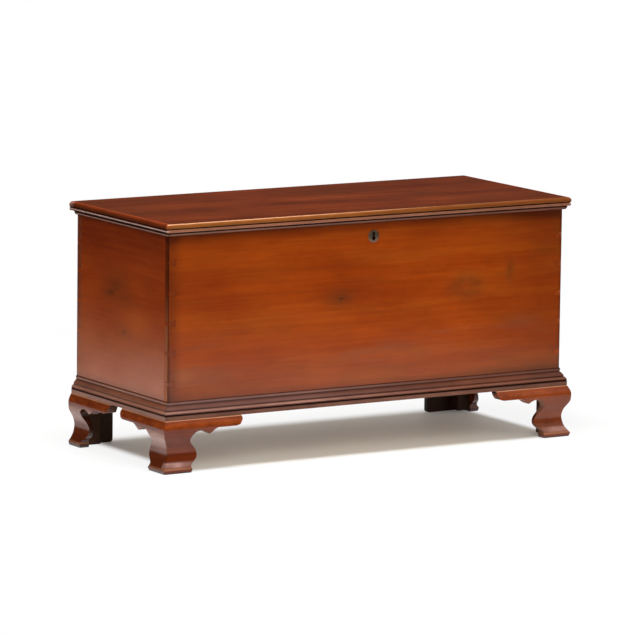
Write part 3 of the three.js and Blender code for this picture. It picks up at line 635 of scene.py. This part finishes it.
def trimShade(sheet, place, colour):
    at = sheet.reader(place, trimAge)
    cloud = sheet.noise(place, (7, 7, 7))
    left = at("left")
    # painted highlights along the proud edges
    proud = marked(sheet, place[2], trimAge["proudBands"]) * (cloud * 1.5 + 0.15) * (left * 0.68 + 0.32)
    dark = trimSootAndShade(sheet, place) * (cloud * 0.4 + 0.76).atMost(1)
    return sheet.tinted(colour, trimAge, grey=left * at("greyFront"), proud=proud.atMost(0.85), soot=dark)


def trimPolish(sheet, place):
    # duller on the rim than at the base, and none in the soot and painted shade
    level = sheet.region(place, trimAge["rimDull"]) + trimAge["gloss"]
    return (1 - trimSootAndShade(sheet, place) * 0.92) * level


def railJoint(sheet, place):
    return sheet.step(place[2], *trimAge["joint"])


def railShade(sheet, place, colour):
    return sheet.tinted(colour, trimAge, soot=railJoint(sheet, place) * trimAge["jointDark"])


def railPolish(coat):
    # none in the joint
    return lambda sheet, place: (1 - railJoint(sheet, place)) * coat


# Age on the feet

footAge = {
    # the middle, half height and softness of each band: shares of the foot's height, but for the tip's
    "bulge": (0.9, 0.02, 0.07), "shaft": (0.6, 0.1, 0.12), "flank": (0.62, 0.1, 0.09),
    "hollow": (0.155, 0.02, 0.05), "tip": (footTop * 0.085, 0.0012, 0.0025),
    "toe": {"z": (footTop * 0.47, footTop * 0.32)},
    "corner": {"x": (rightFace - 0.085, rightFace - 0.01), "by": 0.75},
    "front": {"y": (frontFace, frontFace - 0.002)},
    "shoulder": {"z": (footTop - 0.0028, footTop - 0.0012)},
    "right": {"x": (0.35, 0.55), "z": (footTop * 0.85, footTop * 0.72)},
    "sole": {"z": (0.0045, 0.0015), "by": 0.7},
    "golden": rgb(142, 64, 20), "brown": rgb(82, 36, 20), "dark": rgb(66, 21, 9),
    # pale is a painted reflection; lightened and bright are painted highlights
    "pale": rgb(172, 126, 108), "rubbed": rgb(186, 148, 138), "bright": rgb(196, 138, 100),
    "tan": rgb(128, 66, 34), "dirt": rgb(30, 16, 11),
}


def footShade(sheet, place, colour):
    # the bulge is rubbed golden, painted highlights run along its shoulder and the toe's tip, and the toe has
    # darkened
    age, at = footAge, sheet.reader(place, footAge)
    cloud = sheet.noise(place, (9, 9, 9), detail=4)
    blots = sheet.noise(place, (24, 24, 34), detail=4, roughness=0.65)
    bulge, shaft, flank, hollow = (sheet.band(place[2], *(footTop * share for share in age[part]))
                                   for part in ("bulge", "shaft", "flank", "hollow"))
    # the side faces are paler on the flank: a painted reflection of the floor
    flank = flank * sheet.facing(0, 0.3, 0.7)
    # a painted highlight in the hollow above the toe's tip on the front, most of all near the corners
    corner = sheet.region((abs(place[0]), *place[1:]), age["corner"]) + 0.15
    hollow = hollow * corner * at("front") * (blots * 1.6 - 0.2)
    tip = sheet.band(place[2], *age["tip"]) * (cloud * 0.9 - 0.12)
    shoulder = at("shoulder") * (cloud * 0.9 + 0.2)
    return sheet.tinted(
        colour, age, golden=(bulge * (blots * 2.4 - 0.95)).atMost(0.8),
        brown=(shaft * (blots * 1.8 - 0.35)).atMost(0.75), dark=(at("toe") * (cloud + 0.05)).atMost(0.9),
        pale=flank * (blots * 0.7 + 0.15), rubbed=hollow.atMost(0.75),
        bright=tip.atLeast(shoulder).atMost(0.8), tan=at("right") * (blots * 0.6 + 0.05), dirt=at("sole"))


def footPolish(coat):
    # the polish is patchy
    return lambda sheet, place: (
        (sheet.noise(place, (16, 16, 16), (3, 0, 0)) * 0.9 + 0.5).atMost(1) * coat)


def trimMaterial(name, axes, shades, seed, coatRoughness, shade, polish):
    return woodMaterial(name, axes, shades, (44, 18, 9), seed, sway=0.012, roughness=0.45,
                        coatRoughness=coatRoughness, shade=shade, polish=polish)


trimAcross = trimMaterial("trimAcross", (0, 2, 1), "trim", 31, 0.22, trimShade, trimPolish)
trimEnds = trimMaterial("trimEnds", (1, 2, 0), "sideTrim", 37, 0.28, trimShade, trimPolish)
railAcross = trimMaterial("railAcross", (0, 1, 2), "rail", 41, 0.2, railShade, railPolish(0.25))
railEnds = trimMaterial("railEnds", (1, 0, 2), "sideRail", 43, 0.2, railShade, railPolish(0.45))
footAcross = trimMaterial("footAcross", (0, 2, 1), "foot", 47, 0.14, footShade, footPolish(0.8))
footEnds = trimMaterial("footEnds", (1, 2, 0), "foot", 53, 0.14, footShade, footPolish(1))


# Metal: aged brass for the keyhole plate, dark iron for the lock and hinges, worn steel for bolt and screws

def metalMaterial(name, dark, light, waves, roughness, metallic, depth, tarnish=None):
    material, sheet, place = newMaterial(name)
    blotch = sheet.noise(place, [waves] * 3, detail=5, roughness=0.65)
    pits = sheet.noise(place, [waves * 9] * 3, roughness=0.6)
    tone = sheet.step(blotch * 0.75 + pits * 0.25, 0.36, 0.64)
    colour = sheet.coats(rgb(*dark), (tone, rgb(*light)))
    if tarnish:
        colour = tarnish(sheet, place, colour)
    surface(sheet, colour, (1 - tone) * 0.2 + roughness, pits + blotch, depth, 0.6, {"Metallic": metallic})
    return material


plateAge = {
    "rubbed": rgb(170, 132, 112), "olive": rgb(70, 56, 30), "oliveBy": 0.3,
    "rubbedLow": {"z": (plateMiddle[1] + 0.004, plateMiddle[1] - 0.012), "by": 0.62},
}


def plateTarnish(sheet, place, colour):
    # olive above the keyhole, paler and pinker below it
    rubbed = sheet.region(place, plateAge["rubbedLow"])
    return sheet.tinted(colour, plateAge, rubbed=rubbed, olive=(1 - rubbed) * plateAge["oliveBy"])


brass = metalMaterial("agedBrass", (62, 50, 36), (130, 112, 86), 260, 0.34, 0.7, 0.15 * mm, plateTarnish)
iron = metalMaterial("darkIron", (40, 36, 33), (92, 84, 77), 180, 0.42, 0.8, 0.2 * mm)
steel = metalMaterial("wornSteel", (66, 62, 58), (138, 130, 120), 200, 0.32, 0.85, 0.1 * mm)


# Pieces: each is a mesh in the chest's own frame, riding on the body of the node it stands for

eased = {  # how wide each kind's arrises are rounded
    "moulding": 0.25 * mm, "foot": 0.7 * mm, "board": 0.2 * mm, "lid": 0.4 * mm, "rail": 0.8 * mm,
    "block": 1 * mm, "lock": 0.15 * mm, "hinge": 0.12 * mm, "screw": 0.1 * mm,
}
weld = {"solid": 0.002 * mm, "grid": 0.004 * mm, "sliver": 0.001 * mm}  # points this close become one


def camel(node):
    first, *rest = node.split("_")
    return first + "".join(word.capitalize() for word in rest)


def settle(mesh, node, material, bevel=0, smoothAngle=30):
    piece = placed(camel(node), mesh)
    mesh.materials.clear()
    mesh.materials.append(material)
    mesh.polygons.foreach_set("use_smooth", np.ones(len(mesh.polygons), dtype=bool))
    mesh.set_sharp_from_angle(angle=math.radians(smoothAngle))
    if bevel:
        arris = piece.modifiers.new("arris", "BEVEL")
        arris.width, arris.segments, arris.limit_method = bevel, 2, "ANGLE"
        arris.angle_limit = math.radians(32)
        arris.harden_normals = True
    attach(piece, bodyOf[node])
    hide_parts(node)


def dress(node, material, kind, smoothAngle=30):
    # a merged copy of the solid, its flat faces made whole and its edges eased
    mesh = nodes[node].data.copy()
    shell = bmesh.new()
    shell.from_mesh(mesh)
    bmesh.ops.remove_doubles(shell, verts=shell.verts, dist=weld["solid"])
    bmesh.ops.dissolve_limit(shell, angle_limit=math.radians(0.6), verts=shell.verts, edges=shell.edges)
    shell.to_mesh(mesh)
    shell.free()
    settle(mesh, node, material, eased[kind], smoothAngle)


def xyz(x, y, z):
    return np.stack(np.broadcast_arrays(x, y, z), axis=-1)


def closedGrid(rows, node, capStart=True, capEnd=True):
    # rows is (rings, points, 3): each ring closes on itself, and the first and last may be capped
    rings, points = rows.shape[:2]
    index = np.arange(rings * points).reshape(rings, points)
    a, b = index[:-1], index[1:]
    quads = np.stack([a, b, np.roll(b, -1, axis=1), np.roll(a, -1, axis=1)], axis=-1).reshape(-1, 4)
    faces = quads.tolist()
    if capStart:
        faces.append(index[0].tolist())
    if capEnd:
        faces.append(index[-1].tolist())
    mesh = bpy.data.meshes.new(camel(node))
    mesh.from_pydata(rows.reshape(-1, 3).tolist(), [], faces)
    shell = bmesh.new()
    shell.from_mesh(mesh)
    bmesh.ops.remove_doubles(shell, verts=shell.verts, dist=weld["grid"])
    bmesh.ops.dissolve_degenerate(shell, edges=shell.edges, dist=weld["sliver"])
    bmesh.ops.recalc_face_normals(shell, faces=shell.faces)
    shell.to_mesh(mesh)
    shell.free()
    return mesh


def throughPoints(points, count):
    # a smooth line through the points, each stretch a cubic whose slopes follow its neighbours
    points = np.asarray(points, float)
    padded = np.vstack([2 * points[0] - points[1], points, 2 * points[-1] - points[-2]])
    places = np.linspace(0, len(points) - 1, count)
    start = np.minimum(places.astype(int), len(points) - 2)
    t = (places - start)[:, None]
    p0, p1, p2, p3 = (padded[start + i] for i in range(4))
    return 0.5 * (2 * p1 + (p2 - p0) * t + (2 * p0 - 5 * p1 + 4 * p2 - p3) * t ** 2
                  + (3 * p1 - p0 - 3 * p2 + p3) * t ** 3)


def lineOf(*strokes):
    # strokes put end to end; one that starts where the last ended adds that point only once
    joined = [np.asarray(strokes[0], float)]
    for stroke in strokes[1:]:
        stroke = np.asarray(stroke, float)
        same = np.allclose(stroke[0], joined[-1][-1])
        joined.append(stroke[1:] if same else stroke)
    return np.vstack(joined)


# Mouldings: a profile of [projection, height] carried along an edge, mitred at the front corners

baseMoulding = {
    "projection": 15.5 * mm,
    "height": baseHeight,
    "profile": lineOf(
        [(0, 0), (1, 0)],
        # its first four points lie on the straight rise
        throughPoints([(1, 0), (1, 0.1), (0.92, 0.19), (0.79, 0.26), (0.68, 0.3), (0.56, 0.32)], 22)[4:],
        [(0.56, 0.35), (0.62, 0.355)],
        throughPoints([(0.62, 0.355), (0.61, 0.42), (0.49, 0.5), (0.335, 0.59), (0.16, 0.68)], 18),
        [(0.06, 0.69), (0.06, 0.75)],
        throughPoints([(0.08, 0.755), (0.135, 0.79), (0.15, 0.87), (0.13, 0.95), (0.06, 1)], 12),
        [(0, 1)]),
}
rimMoulding = {
    "projection": 10 * mm,
    "height": 10 * mm,
    "profile": lineOf(
        [(0, 0), (0.5, 0)],
        throughPoints(
            [(0.52, 0.02), (0.64, 0.08), (0.8, 0.22), (0.92, 0.42), (0.99, 0.68), (0.99, 0.9)], 16),
        [(0.92, 1), (0, 1)]),
}
seat = 0.3 * mm
mitreSeat = seat * math.sqrt(0.5)
columns = 60


def mouldingRun(moulding, half, mitres):
    # x runs from -half to half, each end moved out by the projection where it is mitred
    projection, height = (moulding["profile"] * (moulding["projection"], moulding["height"])).T
    start = -half - mitres[0] * (projection - mitreSeat)
    end = half + mitres[1] * (projection - mitreSeat)
    share = np.linspace(0, 1, columns)[:, None]
    return xyz(start * (1 - share) + end * share, -projection, height)


def turned(points, quarter):
    # quarter turns about the upright axis: 0 faces the front, -1 the left end, 1 the right end
    x, y, z = points[..., 0], points[..., 1], points[..., 2]
    if quarter == 0:
        return points
    return xyz(-quarter * y, quarter * x, z)


sides = {
    # the quarter turn, the face's middle, half its length and which ends are mitred
    "front": (0, (0, frontFace - seat), rightFace, (1, 1)),
    "left": (-1, (leftFace - seat, midDepth), halfDepth, (0, 1)),
    "right": (1, (rightFace + seat, midDepth), halfDepth, (1, 0)),
}
for kind, moulding in (("base_moulding", baseMoulding), ("rim_moulding", rimMoulding)):
    for side, (quarter, middle, half, mitres) in sides.items():
        node = f"{kind}_{side}"
        rows = turned(mouldingRun(moulding, half, mitres), quarter) + [*middle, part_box(node)[0][2]]
        material = trimAcross if side == "front" else trimEnds
        settle(closedGrid(rows, node), node, material, eased["moulding"], smoothAngle=34)


# Ogee brackets: the section's swell projects from the face, and the sawn line ends each row

bracketGap = 60 * mm  # between the two brackets of an end
foot = {
    "height": footTop,
    "length": (backFace - frontFace - bracketGap) / 2,
    "bulge": 25.2 * mm,
    "backset": 5 * mm,
    "across": 34,  # points from the corner to the sawn edge
    "atCorner": 0.5 * mm,  # a row tied nearer than this is tied to the corner and not to the top edge
    "swell": [
        (0.85, 0), (0.95, 0.056), (0.925, 0.081), (0.679, 0.141), (0.433, 0.222), (0.31, 0.304),
        (0.25, 0.385), (0.313, 0.467), (0.468, 0.548), (0.734, 0.63), (0.913, 0.689), (0.976, 0.748),
        (1, 0.83), (0.925, 0.904), (0.655, 1)],
    "end": [(0.991, 1), (1, 0.948), (0.975, 0.88), (0.953, 0.837), (0.902, 0.815)],
    "step": [(0.647, 0.815), (0.605, 0.79), (0.565, 0.745), (0.526, 0.707)],
    "arch": [
        (0.526, 0.707), (0.465, 0.756), (0.391, 0.781), (0.325, 0.752), (0.283, 0.685), (0.272, 0.61),
        (0.298, 0.54), (0.34, 0.472), (0.375, 0.402), (0.388, 0.33), (0.377, 0.262), (0.337, 0.2),
        (0.294, 0.155), (0.277, 0.108), (0.286, 0.052), (0.275, 0)],
    # where each place on the sawn line is tied to the top edge and the corner: [sawn x, z, tied x, z]
    "ties": [(1, 1, 1, 1), (0.902, 0.815, 0.902, 1), (0.526, 0.707, 0.526, 1), (0.391, 0.781, 0.3, 1),
             (0.295, 0.71, 0, 1), (0.272, 0.61, 0, 0.74), (0.388, 0.33, 0, 0.33), (0.275, 0, 0, 0)],
}
swellLine = throughPoints(foot["swell"], 120) * (foot["bulge"], foot["height"])


def swellAt(z):
    # how far the section stands out at a height
    return np.interp(z, swellLine[:, 1], swellLine[:, 0])


def sawnLine():
    # the bracket's outline below: its rounded end, a straight, the step and the arch down to the toe
    ends = throughPoints(foot["end"], 16)
    flat = np.linspace(foot["end"][-1], foot["step"][0], 24)
    line = lineOf(ends, flat, throughPoints(foot["step"], 12), throughPoints(foot["arch"], 92))
    return line * (foot["length"], foot["height"])


def tieLine(sawn):
    # the tied point moves along the top edge and down the corner as the sawn point moves on
    ties = np.array(foot["ties"]) * np.array([foot["length"], foot["height"]] * 2)
    at = [int(np.argmin(np.hypot(*(sawn - tie[:2]).T))) for tie in ties]
    at[0], at[-1] = 0, len(sawn) - 1
    steps = np.arange(len(sawn))
    return np.stack([np.interp(steps, at, ties[:, i]) for i in (2, 3)], axis=-1)


def bracketRows(mitred):
    # each row goes in equal shares from its tied point to its sawn one, at the swell's depth, and back behind
    sawn = sawnLine()
    tied = tieLine(sawn)
    share = np.linspace(0, 1, foot["across"])[None, :, None]
    corner = (tied[:, :1] < foot["atCorner"]) & mitred

    def across(cornerX):
        # the rows tied to the corner start at the x given
        start = np.concatenate([np.where(corner, cornerX, tied[:, :1]), tied[:, 1:]], axis=1)
        flat = start[:, None] * (1 - share) + sawn[:, None] * share
        return flat[..., 0], flat[..., 1]

    x, z = across(mitreSeat - swellAt(tied[:, 1:]))
    front = xyz(x, -swellAt(z), z)
    x, z = across(mitreSeat + foot["backset"])
    back = xyz(x, foot["backset"], z)

    def between(one, other, count):
        part = np.linspace(0, 1, count)[None, 1:-1, None]
        return one[:, None] * (1 - part) + other[:, None] * part

    edge = between(front[:, -1], back[:, -1], 7)
    seam = between(back[:, 0], front[:, 0], 7)
    return np.concatenate([front, edge, back[:, ::-1], seam], axis=1)


brackets = {
    # the corner's x and y, the quarter turn and the hand
    "foot_front_left_face": (leftFace, frontFace, 0, 1),
    "foot_front_right_face": (rightFace, frontFace, 0, -1),
    "foot_front_left_side": (leftFace, frontFace, -1, -1),
    "foot_front_right_side": (rightFace, frontFace, 1, 1),
    "foot_rear_left_side": (leftFace, backFace, -1, 1),
    "foot_rear_right_side": (rightFace, backFace, 1, -1),
}
for node, (cornerX, cornerY, quarter, hand) in brackets.items():
    rows = bracketRows(mitred=cornerY == frontFace) * (hand, 1, 1)
    rows = turned(rows, quarter) + [cornerX, cornerY, 0]
    material = footAcross if quarter == 0 else footEnds
    settle(closedGrid(rows, node, capStart=False), node, material, eased["foot"], smoothAngle=40)


# Boards, rails and blocks keep their solids' shape, with eased edges

for node, material, kind in (
    ("front_board", frontWood, "board"), ("left_end_board", endWood, "board"),
    ("right_end_board", endWood, "board"), ("back_board", backWood, "board"),
    *((f"bottom_plank_{i}", plankWood, "board") for i in (1, 2, 3)), ("lid_board", lidWood, "lid"),
    ("base_rail_front", railAcross, "rail"), ("base_rail_left", railEnds, "rail"),
    ("base_rail_right", railEnds, "rail"), ("base_rail_back", backWood, "rail"),
    *((f"foot_rear_{side}_back", rearWood, "rail") for side in ("left", "right")),
    *((f"corner_block_{end}_{side}", blockWood, "block")
      for end in ("front", "rear") for side in ("left", "right")),
):
    dress(node, material, kind, smoothAngle=38 if kind == "lid" else 30)


# Keyhole plate: a slightly domed disc, its rim rounded over, drawn between its edge and the keyhole

keyhole = {
    "radius": (plateHigh[0] - plateLow[0]) / 2,
    "thickness": plateHigh[1] - plateLow[1],
    "centre": (plateMiddle[0], plateHigh[1], plateMiddle[1]),
    "topRadius": 4.1 * mm, "topHeight": 8.5 * mm,
    "slotHalf": 3.2 * mm,
    "footRadius": 5.7 * mm, "footDrop": 5 * mm,
}


def onCircle(angle):
    return np.stack([np.cos(angle), np.sin(angle)], axis=-1)


def keyholeLine():
    # two arcs, joined by the slot's straight sides
    top = math.acos(keyhole["slotHalf"] / keyhole["topRadius"])
    low = math.acos(keyhole["slotHalf"] / keyhole["footRadius"])
    over = np.linspace(-top, math.pi + top, 40)
    under = np.linspace(math.pi - low, 2 * math.pi + low, 56)
    head = onCircle(over) * keyhole["topRadius"] + (0, keyhole["topHeight"])
    heel = onCircle(under) * keyhole["footRadius"] - (0, keyhole["footDrop"])
    left = np.linspace(head[-1], heel[0], 12)[1:-1]
    right = np.linspace(heel[-1], head[0], 12)[1:-1]
    return np.vstack([head, left, heel, right])


def plateRows():
    # each point lies a share of the way from the keyhole's line out to the rim, straight out from the middle
    inner = keyholeLine()
    outer = onCircle(np.arctan2(inner[:, 1], inner[:, 0])) * keyhole["radius"]
    # those shares and shares of the thickness, from the back round the keyhole's edge to the rim
    section = np.array([
        (0.06, 0), (0, 0), (0, 0.35), (0, 0.62), (0.012, 0.8), (0.035, 0.9), (0.1, 0.95), (0.3, 0.99),
        (0.5, 1), (0.7, 0.985), (0.84, 0.95), (0.91, 0.86), (0.96, 0.7), (0.99, 0.48), (1, 0.25),
        (1, 0), (0.94, 0)])
    out = section[None, :, :1]
    flat = inner[:, None] * (1 - out) + outer[:, None] * out
    return xyz(flat[..., 0], -section[:, 1] * keyhole["thickness"], flat[..., 1]) + keyhole["centre"]


# it closes both ways round: each section on itself, and the last row on the first
rows = plateRows()
rows = np.concatenate([rows, rows[:1]])
settle(closedGrid(rows, "escutcheon", capStart=False, capEnd=False), "escutcheon", brass, smoothAngle=50)


def studRows(centre, radius, height, steps=28, levels=9):
    # a domed head: the radius falls as a quarter circle while the height rises
    angle = np.linspace(0, 2 * math.pi, steps, endpoint=False)[None, :]
    rise = np.linspace(0, math.pi / 2, levels)[:, None]
    reach = np.vstack([[radius * 0.4], radius * np.cos(rise)])
    proud = np.vstack([[0], height * np.sin(rise)])
    return xyz(centre[0] + reach * np.cos(angle), centre[1] - proud, centre[2] + reach * np.sin(angle))


studSink = 0.02 * mm  # how far a head's foot lies in the plate's dome
for i in (1, 2):
    node = f"escutcheon_pin_{i}"
    low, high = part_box(node)
    head = ((low[0] + high[0]) / 2, plateLow[1] + studSink, (low[2] + high[2]) / 2)
    rows = studRows(head, (high[0] - low[0]) / 2, plateLow[1] - low[1] + studSink)
    settle(closedGrid(rows, node), node, brass, smoothAngle=50)


# Lock, catch and hinges: the solids with eased edges and smooth barrels

metalwork = [(f"lock_{piece}", iron, "lock") for piece in ("plate", "case", "catch")]
metalwork += [("lock_bolt", steel, "lock"), ("lock_spring", steel, "lock")]
metalwork += [(f"hinge_{side}_{piece}", iron, "hinge")
              for side in ("left", "right") for piece in ("case_leaf", "lid_leaf", "pin")]
metalwork += [(node, steel, "screw") for node in nodes if "screw" in node]
for node, material, kind in metalwork:
    dress(node, material, kind, smoothAngle=35)


# Stage: a pale floor that fades out round the chest, with a painted shadow under it, soft lamps, and a white
# backdrop in the world

stage = {
    "floorSize": 9,
    "floorSolid": 1.2, "floorGone": 2.5,  # metres from the chest
    # the paper under the chest, between shadeNear and shadeFar, is tinted as a painted shadow
    "floorColour": rgb(247, 246, 244), "underColour": rgb(247, 238, 219),
    "shadeNear": {"x": (-0.585, -0.535), "y": (-0.278, -0.21)},
    "shadeFar": {"x": (0.64, 0.595), "y": (0.32, 0.22)},
    "roomLevel": 0.02,  # what gloss sees away from the white backdrop
    "ambient": 0.44,
    "paperGlow": 0.86, "underGlow": 0.1,  # shares of plain white seen in the open and under the chest
}


def makeFloor():
    half = stage["floorSize"] / 2
    mesh = bpy.data.meshes.new("floor")
    corners = [(-half, -half, 0), (half, -half, 0), (half, half, 0), (-half, half, 0)]
    mesh.from_pydata(corners, [], [(0, 1, 2, 3)])
    floor = placed("floor", mesh)
    material, sheet, place = newMaterial("floorPaper")
    x, y = place[:2]
    far = (x * x + y * y) ** 0.5
    gone = sheet.step(far, stage["floorSolid"], stage["floorGone"])
    # painted shadow: the paper is tinted darker and warmer under the chest, where its shadow lies
    under = sheet.region(place, stage["shadeNear"]) * sheet.region(place, stage["shadeFar"])
    tone = sheet.coats(stage["floorColour"], (under, stage["underColour"]))
    paper = sheet.node("BsdfPrincipled", {
        "Base Color": tone, "Roughness": 0.6, "Specular IOR Level": 0.2})
    clear = sheet.node("BsdfTransparent")
    white = sheet.node("Emission", {"Color": (1, 1, 1, 1), "Strength": 1})
    camera, glossy, through = sheet.rays()
    looked = camera.atLeast(glossy).atLeast(through)
    # less plain white under the chest, so that the painted shadow and the real one show
    looked = looked * ((1 - under) * (stage["paperGlow"] - stage["underGlow"]) + stage["underGlow"])
    lit = sheet.node("MixShader", {0: looked, 1: paper, 2: white})
    seen = sheet.node("MixShader", {0: gone, 1: lit, 2: clear})
    sheet.node("OutputMaterial", {"Surface": seen})
    mesh.materials.append(material)


def makeWorld():
    world = bpy.data.worlds.new("studio")
    world.use_nodes = True
    bpy.context.scene.world = world
    sheet = Sheet(world.node_tree)
    camera, glossy, through = sheet.rays()
    direction = sheet.node("TexCoord", out="Generated")
    ahead = sheet.node("VectorMath", {0: direction, 1: tuple(-towards(shot["azimuth"], 0))},
                       {"operation": "DOT_PRODUCT"}, out="Value")
    backdrop = sheet.step(ahead, 0.7, 0.9) * (1 - stage["roomLevel"]) + stage["roomLevel"]
    seen = camera.atLeast(glossy.atLeast(through) * backdrop)
    other = 1 - camera.atLeast(glossy).atLeast(through)
    strength = seen + other * stage["ambient"]
    light = sheet.node("Background", {"Color": (1, 1, 1, 1), "Strength": strength})
    sheet.node("OutputWorld", {"Surface": light})


lamps = {
    "key": {"place": (-1.7, -3.7, 2.6), "aim": (0, 0, 0.35), "size": 2, "watts": 80},
    "top": {"place": (-0.35, -0.45, 3.3), "aim": (-0.1, -0.35, 0.3), "size": 1.7, "across": 0.9,
            "watts": 135},
    "fill": {"place": (3.4, -2.6, 2.6), "aim": (0, 0, 0.3), "size": 3.6, "watts": 22},
}


def makeLamps():
    for name, lamp in lamps.items():
        data = bpy.data.lights.new(name, "AREA")
        data.shape, data.size, data.energy = "RECTANGLE", lamp["size"], lamp["watts"]
        data.size_y = lamp.get("across", lamp["size"])
        made = placed(name, data)
        made.location = lamp["place"]
        aim = Vector(lamp["aim"]) - Vector(lamp["place"])
        made.rotation_euler = aim.to_track_quat("-Z", "Y").to_euler()


makeFloor()
makeWorld()
makeLamps()
bpy.context.scene.view_settings.view_transform = "Standard"

bpy.context.view_layer.update()
